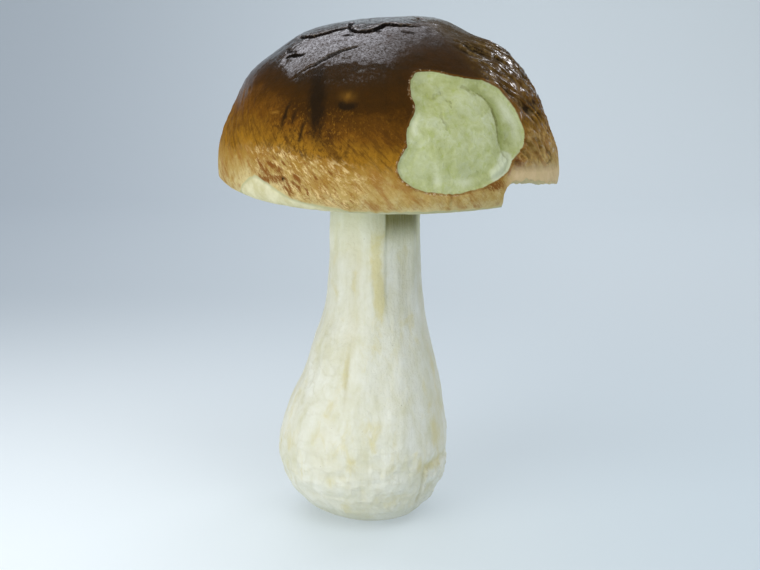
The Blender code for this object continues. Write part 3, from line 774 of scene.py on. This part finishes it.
# The tan margin is clouded, chafed into a net of fine brown lines at the left, and scarred there.
in_tan = ripe.step(0.42, 0.22) * hem.step(0.0, 1.2)
clouds = paint.noise(lean, 0.26, 4.0, 0.6, 0.3, 0.55).step(0.46, 0.66)
strokes = paint.noise(lean, 0.80, 4.0, 0.65, 0.3, 0.35).step(0.53, 0.64)
peeled = paint.noise(lean, 0.60, 5.0, 0.7, 0.4, 0.75).step(0.48, 0.68)
net = paint.noise(lean, 0.42, 4.0, 0.65, 0.4, 0.6) - 0.5
net = net.larger(0 - net).step(0.030, 0.004)
rough = paint.noise(lean, 1.0, 4.0, 0.75, upright=0.55)
scars = (fibre * 0.9 + (rough - 0.5) * 3.6).step(0.20, 0.95) * fibre.step(0.0, 0.35)
skin_colour = paint.layers(
    skin_colour,
    (clouds * in_tan * (0.75 - chafed * 0.40), (144, 101, 46)),
    (strokes * in_tan * 0.34, (136, 90, 40)),
    (peeled * in_tan * (0.18 + chafed * 0.62), (220, 194, 138)),
    (net * in_tan * (0.15 + chafed * 0.50), (126, 80, 34)),
    (scars * 0.92, (120, 74, 30)),
    (paint.field("worn") * (0.74 + (mottle - 0.5) * 1.6), (208, 184, 142)),
)

# At the right furrows are painted dark, painted shade, and ridges golden. Stains are nearly black, the torn
# rim brown and pale.
furrow_shade = paint.field("ridges").step(0.55, -0.25) * wrinkled
# The hollows between the lower folds are painted darker too: painted shade.
fold_valley_shade = paint.field("folds").step(0.75, 0.05) * folded
golden = paint.noise(place, 0.32, 5.0, 0.65).step(0.46, 0.66) * folded.larger(wrinkled * 0.3)
streaked = paint.noise(run, 0.55, 4.0, 0.65, upright=0.3)
stain = (paint.field("stain") * (0.3 + 1.6 * streaked)).step(0.08, 0.95)
# Pale dashes along the torn skin's edge: partly pale torn skin, partly painted glints.
torn_skin_and_glints = paint.noise(place, 0.8, 4.0, 0.7).step(0.50, 0.64) * bare.step(-0.95, -0.6) * bare.step(0.0, -0.3)
# Painted shade: the creases and the hole in the crown are painted near black in the skin and darker green in
# the flesh, and the black speck at the front is painted the same way.
crease_shade = (paint.field("crease_away") + (grain - 0.5) * 1.5).step(1.45, 0.90)
crease_shade = (crease_shade * paint.field("crease_dark")).larger(paint.field("hole"))
skin_colour = paint.layers(
    skin_colour,
    (furrow_shade * (0.7 + 0.5 * grain), (28, 19, 8)),
    (fold_valley_shade * (0.7 * mottle), (88, 56, 20)),
    (golden * 0.66, (186, 150, 84)),
    (stain * 0.92, (30, 20, 8)),
    # the paler spot and the short painted highlight
    (paint.field("pale_spot") * 0.8, (132, 92, 32)),
    (bare.step(-0.9, -0.25) * (0.1 + mottle), (108, 72, 28)),
    (torn_skin_and_glints * ragged * 0.65, (206, 184, 150)),
    # a highlight painted along the raised upper lip of each crease
    (paint.field("lip") * (0.2 + 0.8 * grain), (118, 102, 74)),
    (crease_shade * 0.97, (13, 9, 6)),
)

bruise = paint.noise(place, 0.17, 6.0, 0.66, 0.4)
vein = paint.noise(place, 0.36, 5.0, 0.65, 0.6)
greyed = paint.noise(place, 0.20, 3.0, 0.6, 0.2).step(0.50, 0.64)
greened = paint.noise(paint.stretched(place, (1.2, 1.2, 0.8)), 0.36, 4.0, 0.65, 0.4).step(0.54, 0.68)
# The flesh is painted a little darker where it lies low and paler where it swells, painted shade and light;
# bruises and veins vary it at random.
flesh_colour = paint.ramp(
    paint.field("flesh_high") * 0.18 + (bruise - 0.5) * 1.1 + (vein - 0.5) * 0.8 + 0.46,
    (0.00, 136, 141, 84), (0.30, 162, 168, 112), (0.55, 175, 181, 132), (0.80, 188, 194, 156),
    (1.00, 204, 208, 182),
)
flesh_colour = paint.layers(
    flesh_colour,
    (greyed * 0.35, (178, 184, 152)),
    (greened * 0.50, (156, 166, 88)),
    # painted shade below the scarp
    (paint.field("strip") * (0.3 + 0.6 * bruise), (140, 148, 84)),
    (paint.field("lobe") * 0.6, (202, 207, 180)),
    (paint.field("flesh_pale") * (0.2 + 0.9 * bruise), (206, 210, 180)),
    # painted shade in the flesh's creases
    (crease_shade * (0.15 + vein.step(0.40, 0.60) * 0.55), (108, 108, 56)),
)
# The pale hem, painted darker grey-green just under the skin's edge: painted shade there.
hem_colour = paint.layers(
    colour(190, 184, 142),
    (mottle.step(0.25, 0.75), (216, 212, 180)),
    (hem.step(-1.3, -0.1) * (0.35 + 0.5 * mottle), (158, 160, 122)),
)
torn_colour = paint.layers(colour(186, 170, 124), (grain, (216, 202, 160)))

on_hem = (hem + (mottle - 0.5) * 1.4).step(0.35, -0.35)
on_flesh = bare.step(-0.12, 0.12)
on_torn = paint.field("torn").step(0.9, 2.4)
no_skin = on_hem.larger(on_flesh).larger(on_torn)
skinned = 1 - no_skin

# The dark skin is tacky and shines in grains on the crown, on the wrinkles at the right and at torn edges.
sheen = ripe.step(0.85, 1.0)
speckle = paint.noise(place, 1.5, 4.0, 0.75, upright=0.8)
sparkle = (speckle + (sheen - 1) * 0.3).step(0.36, 0.62)
tacky = sheen * (0.10 * sheen + 1.05 * sparkle) * (0.30 + 1.4 * mottle)
tacky = tacky.larger(paint.field("behind_crease") * (0.32 + sparkle)) * paint.field("sheen_share")
on_ridges = (wrinkled * paint.field("ridges")).larger(folded * 0.8 * paint.field("folds"))
wet_spots = paint.noise(place, 0.75, 5.0, 0.75, upright=0.8).step(0.47, 0.60)
wet_ridges = on_ridges.step(0.10, 0.75) * (0.08 + 1.5 * wet_spots) * (0.2 + mottle.step(0.42, 0.58))
wet_rim = bare.step(-1.2, -0.8) * bare.step(0.0, -0.4) * ragged * sparkle
gloss = tacky.larger(wet_ridges).larger(wet_rim * 0.8).larger(paint.field("left_rim") * 0.8)
pores = paint.noise(place, 2.4, 2.0, 0.5)
skin_bump = (grain - 0.5) * 0.16 + (pores - 0.5) * 0.10 + (mottle - 0.5) * 0.25 + scars * 0.06
flesh_bump = (vein - 0.5) * 0.5 + (grain - 0.5) * 0.16
paint.finish(
    cap,
    Base_Color=paint.layers(
        skin_colour, (on_hem, hem_colour), (on_flesh, flesh_colour), (on_torn, torn_colour)
    ),
    Roughness=no_skin * 0.15 + 0.60 + (grain - 0.5) * 0.15,
    Coat_Weight=skinned * gloss * (1 - crease_shade),
    Coat_Roughness=0.15,
    Coat_IOR=1.65,
    Specular_IOR_Level=0.03,
    Normal=paint.bump(skin_bump * skinned + flesh_bump * no_skin, 0.9),
)
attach(cap, "root")
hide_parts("cap")


# The tubes under the cap
# A spongy ring of fine upright tubes between the stem and the lip, pale olive, swollen half way out. Each
# tube ends below in a round mouth. The layer hangs from the flesh and peels off it in one piece.

PORE_LEVEL_AT_STEM = 1.0
PORE_SWELL = 6.2
MOUTH_WIDTH = 1.7
MOUTH_DEPTH = 0.9
TUBE_COLUMNS, TUBE_RINGS = 560, 91
OVERLAP = 0.2
TUBES_INSIDE_STEM = 1.5
STEM_HALF_AT_CAP, STEM_SHIFT_AT_CAP = 16.4, 0.1


def ring_of_tubes(azimuth, share):
    """Points of the ground from the stem out to the lip, by share."""
    a = np.radians(azimuth)
    inner = STEM_HALF_AT_CAP - TUBES_INSIDE_STEM
    outer = margin_edge(azimuth)[0] - LIP_THICKNESS + OVERLAP
    x = STEM_SHIFT_AT_CAP + inner * np.cos(a)
    y = inner * np.sin(a)
    return x + (CAP_CENTRE_X + outer * np.cos(a) - x) * share, y + (outer * np.sin(a) - y) * share


pore_azimuths = stretches([(-180, 180, TUBE_COLUMNS)])
trial = np.linspace(0, 1, 201)[:, None]
x, y = ring_of_tubes(pore_azimuths, trial)
whole = flesh_level_over(x, y) + OVERLAP > break_level(x, y)
outermost = np.where(whole, trial, 0).max(0)

shares = np.linspace(0, 1, TUBE_RINGS)[:, None] * outermost
x, y = ring_of_tubes(pore_azimuths, shares)
at_lip = margin_edge(pore_azimuths)[1] + LIP_HEIGHT
at_stem = WIDEST_LEVEL + PORE_LEVEL_AT_STEM
mouths = at_stem + (at_lip - at_stem) * shares - PORE_SWELL * np.sin(np.pi * shares.clip(0, 1)) ** 0.8
nearest, second = round_cells(np.stack([x, y, np.zeros_like(x)], -1) / MOUTH_WIDTH, 31)
open_mouth = between(second - nearest, 0.08, 0.42) * within(shares, 0, 0.04, 0.97, 1)
mouths = mouths + MOUTH_DEPTH * (open_mouth - 0.5)
torn_level = break_level(x, y)
tube_torn = torn_level - mouths
mouths = np.maximum(mouths, torn_level)
# The top is smooth, so every ninth ring is enough there.
top_x, top_y = ring_of_tubes(pore_azimuths, shares[::-9])
tops = np.maximum(flesh_level_over(top_x, top_y), break_level(top_x, top_y)) + OVERLAP
pore_rings = np.concatenate([np.stack([top_x, top_y, tops], -1), np.stack([x, y, mouths], -1)])[::-1]
flat = np.zeros(top_x.shape)
pore_values = {
    "open_mouth": np.concatenate([flat, open_mouth])[::-1],
    "torn": np.concatenate([flat - 3, np.clip(tube_torn, -3, 3)])[::-1],
}
pores = ring_piece("porcini_tubes", pore_rings, pore_values)

paint = Paint("porcini_tubes")
place = paint.millimetres()
patches = paint.noise(place, 0.10, 4.0, 0.6)
tube_fibre = paint.noise(place, 1.6, 3.0, 0.6, upright=0.15)
mouth_colour = paint.ramp(patches, (0.30, 168, 164, 106), (0.52, 186, 182, 128), (0.75, 202, 196, 146))
# The open mouths are painted darker olive: painted shade inside the tubes.
mouth_colour = paint.layers(mouth_colour, (paint.field("open_mouth") * 0.6, (112, 106, 56)))
side_colour = paint.layers(colour(172, 160, 112), (tube_fibre, (206, 194, 150)))
paint.finish(
    pores,
    Base_Color=paint.layers(mouth_colour, (paint.field("torn").step(0.02, 0.25), side_colour)),
    Roughness=0.82 - patches * 0.1,
    Normal=paint.bump((tube_fibre - 0.5) * 0.3, 0.8),
)
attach(pores, "root")
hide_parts("pore_layer")


# The stem
# A solid club of white fibrous flesh, narrow under the cap and swollen at the foot, with the scar at the
# bottom where it was cut from the ground. Sections are height, half width and sideways shift.

STEM_SECTIONS = (
    (0, 11.0, 0.0), (1.2, 15.4, -0.2), (4, 20.9, -1.9), (10, 26.5, -3.8), (19, 30.7, -4.8),
    (30, 31.8, -4.6), (42, 29.6, -3.7), (56, 25.2, -1.8), (68, 21.9, -1.1), (80, 18.6, -0.1),
    (93, 17.1, -0.2), (114, 16.4, 0.1), (145, 16.4, 0.1),
)
# Edges (+) and hollows (-) up the stem: azimuth, height, spread in degrees, spread up and down, push.
STEM_FOLDS = (
    (-80, 112, 11, 30, 0.7), (-50, 112, 16, 30, -0.6), (-112, 100, 14, 30, -0.3), (-35, 12, 8, 10, -1.3),
    (-16, 12, 10, 8, 0.1), (-62, 42, 14, 24, 0.6), (-105, 30, 16, 22, -0.6), (-135, 48, 14, 26, 0.5),
    (20, 60, 18, 30, -0.5), (95, 40, 16, 30, -0.7), (70, 90, 14, 30, 0.5), (150, 70, 16, 26, -0.5),
)
STEM_DEPTH_RATIO = 0.96
STEM_COLUMNS = ((-190, 10, 300), (10, 170, 120))
# Rings of points, crowded towards the foot by the power.
STEM_RINGS, STEM_RING_POWER = 221, 1.15


def club(level):
    """Half width and sideways shift of the stem at a height, on a smooth curve through its sections: a cubic
    between each two that leaves a section with the slope of the line through its neighbours."""
    rows = np.array(STEM_SECTIONS, float)
    z = rows[:, 0]
    before, after = np.r_[0, np.arange(len(z) - 1)], np.r_[np.arange(1, len(z)), len(z) - 1]
    slopes = (rows[after] - rows[before]) / (z[after] - z[before])[:, None]
    i = np.clip(np.searchsorted(z, level, side="right") - 1, 0, len(z) - 2)
    span = (z[i + 1] - z[i])[..., None]
    t = np.clip((level - z[i]) / (z[i + 1] - z[i]), 0, 1)[..., None]
    found = (2 * t**3 - 3 * t**2 + 1) * rows[i] + (t**3 - 2 * t**2 + t) * span * slopes[i]
    found += (3 * t**2 - 2 * t**3) * rows[i + 1] + (t**3 - t**2) * span * slopes[i + 1]
    return found[..., 1], found[..., 2]


def near(azimuth, level, middle, height, turn, length):
    """Nearness to a spot on the stem: exp(-(azimuth apart / turn) squared - (height apart / length)
    squared)."""
    around = np.mod(azimuth - middle + 180, 360) - 180
    return np.exp(-((around / turn) ** 2) - ((level - height) / length) ** 2)


def spots(azimuth, level, rows):
    """Sum of spots on the stem, each its last number times the nearness to it."""
    return sum(push * near(azimuth, level, *spot) for *spot, push in rows)


def stem_folds(azimuth, level):
    """Three sines round the stem plus its folds, fading out at the foot and under the cap."""
    a = np.radians(azimuth)
    relief = 0.22 * np.sin(7 * a + 0.9 + 0.5 * np.sin(level / 17))
    relief += 0.18 * np.sin(11 * a + 2.1 + 0.8 * np.sin(level / 23 + 1))
    relief += 0.30 * np.sin(3 * a + level / 14) * np.sin(level / 11 + 0.6)
    relief += spots(azimuth, level, STEM_FOLDS)
    return relief * np.clip(level / 5, 0, 1) * np.clip((128 - level) / 12, 0, 1)


# Straw-coloured stains: azimuth, height, spread in degrees, spread up and down, strength.
STRAW_STAINS = (
    (-86, 98, 9, 12, 1.0), (-84, 86, 8, 9, 0.9), (-89, 108, 7, 7, 0.5), (-115, 94, 4.5, 5, 0.8),
    (-144, 88, 7, 3.5, 0.6), (-147, 100, 6, 6, 0.3), (-168, 106, 8, 10, 0.5), (-103, 38, 6, 5, 0.8),
    (-97, 29, 3.5, 5, 0.8), (-103, 24, 6, 3, 0.3), (-110, 30, 3, 8, 0.3), (-82, 40, 4, 8, 0.6),
    (-85, 72, 8, 7, 0.6), (-60, 104, 5, 5, 0.5), (-47, 105, 7, 4, 0.55), (-52, 95, 5, 6, 0.5),
    (-42, 92, 6, 4, 0.45), (-44, 79, 8, 4.5, 0.75), (-60, 74, 4, 5, 0.6), (-40, 70, 6, 4, 0.5),
    (-72, 66, 5, 6, 0.4), (-35, 52, 5, 10, 0.4), (-30, 36, 5, 8, 0.6), (-49, 27, 5, 5, 0.8),
    (-34, 25, 9, 2.2, 0.5), (-125, 36, 4, 6, 0.5), (-150, 33, 7, 4, 0.7), (-160, 46, 7, 8, 0.6),
    (-113, 62, 4, 10, 0.7), (-165, 30, 5, 6, 0.6), (-104, 11, 6, 4, 0.7), (-112, 22, 5, 3, 0.6),
    (-90, 7, 8, 3, 0.5), (-128, 24, 4, 3, 0.5), (-15, 60, 6, 14, 0.5), (22, 80, 9, 20, 0.6),
    (62, 45, 9, 16, 0.6), (99, 90, 8, 18, 0.5), (142, 42, 9, 16, 0.7), (166, 92, 7, 12, 0.5),
    (40, 18, 12, 8, 0.6), (110, 16, 12, 7, 0.6), (-175, 14, 10, 5, 0.5), (-30, 34, 16, 18, 0.45),
    (-60, 10, 22, 6, 0.45), (-92, 44, 10, 3, 0.5), (-120, 50, 5, 9, 0.5), (-134, 28, 5, 6, 0.5),
    (-150, 22, 6, 5, 0.5), (-98, 60, 3, 10, 0.4), (-70, 30, 4, 9, 0.5), (-54, 50, 5, 9, 0.4),
)
# A flap of tissue at the foot, front right: its left edge as height and azimuth.
FLAP_EDGE = ((8, -41.6), (14, -42), (20, -42.5), (27, -44))

stem_azimuths = stretches(STEM_COLUMNS)
a = np.radians(stem_azimuths)
stem_top = flesh_level_over(
    STEM_SHIFT_AT_CAP + STEM_HALF_AT_CAP * np.cos(a), STEM_HALF_AT_CAP * np.sin(a)
)
level = np.linspace(1, 0, STEM_RINGS)[:, None] ** STEM_RING_POWER * (stem_top + OVERLAP)
azimuth = np.broadcast_to(stem_azimuths, level.shape)
half, shift = club(level)
relief = stem_folds(azimuth, level)
around = np.stack([half * np.cos(a), half * np.sin(a), level], -1)
fade = between(level, 0.5, 5)
low = between(level, 46, 18)
relief += fade * 0.12 * noise(around / (2.2, 2.2, 16.0), 41)
relief += fade * 0.05 * noise(around / (1.1, 1.1, 8.0), 42)
relief += fade * (0.10 + 0.30 * low) * layered_noise(around / (7.0, 7.0, 5.0), 43, 3)
relief += 0.55 * within(azimuth, -110, -84, -80, -74) * within(level, 78, 92, 118, 126)
# The thin rind is crumpled in soft folds that lie across the stem, most at the foot and on the left bulge.
crumpled = 0.25 + 0.6 * low + 0.6 * near(azimuth, level, -140, 58, 26, 16)
folds = noise(around / (5.5, 5.5, 3.2) + 0.4 * noise(around / 4.0, 45)[..., None], 44)
relief += fade * crumpled * 0.50 * (0.45 - np.abs(folds))
small_folds = noise(around / (2.4, 2.4, 1.3), 46)
relief += fade * crumpled * 0.30 * (0.45 - np.abs(small_folds))
flap_edge = np.interp(level, *np.array(FLAP_EDGE).T)
flap = within(azimuth, flap_edge - 0.6, flap_edge + 1.0, -8, 4) * within(level, 4, 8, 22.5, 24.5)
ledge = within(azimuth, flap_edge - 6, flap_edge + 2, -6, 8)
hollow = ledge * within(level, 21.5, 23.5, 25, 29)
crease = np.exp(-(((azimuth - flap_edge + 1.0) / 1.6) ** 2)) * within(level, 8, 11, 22, 26)
groove = near(azimuth, level, -110.5 - 0.06 * (level - 60) + 1.5 * np.sin(level / 6), 60, 1.8, 9)
crumbly = noise(around / 1.1, 47) + noise(around / 2.4, 48)
relief += 0.7 * flap - 0.7 * hollow - 0.5 * crease - 0.45 * groove + 0.40 * (flap + hollow) * crumbly
reach = half + relief
stem_rings = np.stack([shift + reach * np.cos(a), STEM_DEPTH_RATIO * reach * np.sin(a), level], -1)
straw = spots(azimuth, level, STRAW_STAINS) + 0.35 * hollow
straw = straw * (1 - 0.8 * between(azimuth, -76, -74) * near(azimuth, level, -74, 94, 7, 14))
shaded = within(azimuth, -79, -76, -26, -4) * between(level, 106, 117)
shaded += 0.28 * within(azimuth, -112, -80, -78, -75.5) * between(level, 103, 118)
stem_values = {
    "straw": straw.clip(0, 1.2),
    "crease": 0.5 * np.maximum(crease, groove),
    "fold_line": (crumpled * fade * np.exp(-((folds / 0.09) ** 2))).clip(0, 1),
    "raised": relief,
    "shaded": shaded,
    "foot": between(level, 18, 2),
    "under_cap": between(level, 98, 122),
}
stem = ring_piece(
    "porcini_stem", stem_rings, stem_values,
    top=(STEM_SHIFT_AT_CAP, 0, flesh_level(0, 0) + OVERLAP), bottom=(0, 0, 0),
)

paint = Paint("porcini_stem")
place = paint.millimetres()
streaks = paint.noise(place, 0.34, 4.0, 0.6, 0.3, 0.10)
fibres = paint.noise(place, 1.5, 4.0, 0.65, upright=0.05)
clouds = paint.noise(place, 0.07, 4.0, 0.6)
grain = paint.noise(place, 0.9, 4.0, 0.6)
patches = paint.noise(place, 0.16, 5.0, 0.6, 0.5, 0.6)
blotches = paint.noise(place, 0.22, 5.0, 0.65, 0.5, 0.55)
stem_colour = paint.ramp(
    (streaks - 0.5) * 0.45 + (clouds - 0.5) * 0.8 + (patches - 0.5) * 0.8 + 0.5,
    (0.10, 198, 195, 160), (0.32, 208, 207, 183), (0.52, 216, 216, 200), (0.80, 226, 227, 217),
)
straw_share = (paint.field("straw") * 0.8 + (blotches - 0.5) * 2.2 + (streaks - 0.5) * 0.3).step(0.15, 1.0)
stem_colour = paint.layers(
    stem_colour,
    (straw_share * 0.80, (206, 197, 144)),
    (paint.field("raised").step(0.1, -0.9) * 0.30, (200, 192, 150)),
    # painted shade in the flap's crease and in the groove at the front left
    (paint.field("crease") * 0.5, (164, 154, 108)),
    (paint.field("fold_line") * patches * 0.55, (176, 170, 136)),
    (paint.noise(place, 0.55, 2.0, 0.5).step(0.765, 0.80) * 0.6, (120, 108, 76)),
    (paint.field("foot") * 0.40, (182, 184, 168)),
    (paint.field("under_cap") * 0.35, (198, 204, 150)),
    (paint.field("shaded") * (0.75 + 0.4 * fibres), (108, 104, 48)),
)
paint.finish(
    stem,
    Base_Color=stem_colour,
    Roughness=0.56 + (grain - 0.5) * 0.2,
    Specular_IOR_Level=0.4,
    Normal=paint.bump((fibres - 0.5) * 0.16 + (grain - 0.5) * 0.30 + (patches - 0.5) * 0.5, 0.9),
)
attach(stem, "root")
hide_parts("stem")


# The stage
# A pale sweep: a floor that curves up into a low wall behind the mushroom.

SWEEP_HALF_WIDTH = 1800.0
SWEEP_FRONT, SWEEP_BACK, SWEEP_CURVE, SWEEP_TOP = -1200.0, 1000.0, 320.0, 620.0

bend = np.radians(np.linspace(0, 90, 25))
profile_y = np.concatenate([
    np.linspace(SWEEP_FRONT, SWEEP_BACK - SWEEP_CURVE, 12, endpoint=False),
    SWEEP_BACK - SWEEP_CURVE + SWEEP_CURVE * np.sin(bend), [SWEEP_BACK],
])
profile_z = np.concatenate([np.zeros(12), SWEEP_CURVE * (1 - np.cos(bend)), [SWEEP_TOP]])
across = np.linspace(-SWEEP_HALF_WIDTH, SWEEP_HALF_WIDTH, 9)
sweep_points = np.stack(np.broadcast_arrays(across, profile_y[:, None], profile_z[:, None]), -1)
index = np.arange(sweep_points[..., 0].size).reshape(sweep_points.shape[:2])
quads = np.stack([index[:-1, :-1], index[:-1, 1:], index[1:, 1:], index[1:, :-1]], -1).reshape(-1, 4)
sweep = surface("sweep", sweep_points.reshape(-1, 3), quads.tolist())
paint = Paint("sweep")
rightward, away = (
    paint.node("ShaderNodeSeparateXYZ", None, {"Vector": paint.millimetres()}, output) for output in (0, 1)
)
# The sweep is painted lighter at the front left, darker to the right and darker on the wall's left: painted
# light and shade.
near_colour = paint.layers(colour(244, 252, 255), (rightward.step(-160, 180), (201, 214, 221)))
far_colour = paint.layers(colour(201, 211, 216), (rightward.step(200, -480), (166, 176, 184)))
sweep_painted_light = paint.layers(near_colour, (away.step(-120, 360), far_colour))
paint.finish(
    sweep,
    # It glows faintly, painted light that softens the shadows on it, over a darkened colour.
    Base_Color=paint.layers(sweep_painted_light, (0.45, (0, 0, 0))),
    Emission_Color=sweep_painted_light,
    Emission_Strength=0.4,
    Roughness=0.9,
    Specular_IOR_Level=0.2,
)


# Camera and light
# The camera looks a little down on the mushroom, as in the photograph. A large soft light hangs over and
# behind it and shines in the skin of the crown, with a dimmer one beside it. The others come from the front
# left, the front right and low behind the right.

SIGHT_ELEVATION = 14.0
SIGHT_DISTANCE = 431.0
SIGHT_TARGET = (1.9, 0.0, 89.0)

camera_data = bpy.data.cameras.new("camera")
camera_data.lens, camera_data.sensor_width = 55.0, 36.0
camera_data.clip_start, camera_data.clip_end = 0.01, 20.0
camera = placed("camera", camera_data)
slant = np.radians(SIGHT_ELEVATION)
back = Vector((0, -np.cos(slant), np.sin(slant)))
camera.location = (Vector(SIGHT_TARGET) + back * SIGHT_DISTANCE) * MILLIMETRE
camera.rotation_mode = "QUATERNION"
camera.rotation_quaternion = (-back).to_track_quat("-Z", "Y")
bpy.context.scene.camera = camera


def soft_light(name, corner, across, along, radiance, tint):
    """A flat light with one corner and two edges given in metres. Seen from its dark side the second edge
    is to the left of the first. Its power is its brightness times pi times its area."""
    corner, across, along = Vector(corner), Vector(across), Vector(along)
    data = bpy.data.lights.new(name, "AREA")
    data.shape, data.size, data.size_y = "RECTANGLE", across.length, along.length
    data.energy = radiance * np.pi * across.length * along.length
    data.color = colour(*tint)[:3]
    turn = Matrix((across.normalized(), along.normalized(), across.cross(along).normalized())).transposed()
    placed(name, data).matrix_world = Matrix.Translation(corner + (across + along) / 2) @ turn.to_4x4()


def facing_light(name, azimuth, elevation, distance, width, height, radiance, tint):
    """A soft light that looks at the foot of the cap from a direction."""
    away = Vector(facing(azimuth, elevation))
    across = Vector((0, 0, 1)).cross(away).normalized() * width
    along = away.cross(across).normalized() * height
    middle = Vector((0, 0, 0.11)) + away * distance
    soft_light(name, middle - (across + along) / 2, across, along, radiance, tint)


soft_light("window", (0.0, 0.11, 0.9), (0.26, 0.96, 0), (-0.82, 0.22, 0), 2.3, (242, 244, 255))
soft_light("dim_window", (0.34, 0.02, 0.9), (0.26, 0.96, 0), (-0.34, 0.09, 0), 0.75, (242, 244, 255))
soft_light("ceiling", (-1.0, -1.3, 1.2), (2.0, 0, 0), (0, 1.2, 0), 1.7, (246, 250, 255))
facing_light("key", -140, 14, 0.9, 0.7, 0.5, 4.4, (255, 253, 246))
facing_light("fill", -45, 12, 1.0, 0.6, 0.5, 3.0, (250, 251, 255))
facing_light("glint", 40, 32, 1.1, 0.45, 0.25, 6.0, (246, 246, 252))

world = bpy.data.worlds.new("room")
world.use_nodes = True
ambient = world.node_tree.nodes["Background"]
ambient.inputs["Color"].default_value = colour(214, 222, 232)
ambient.inputs["Strength"].default_value = 0.15
bpy.context.scene.world = world
bpy.context.scene.view_settings.view_transform = "Standard"
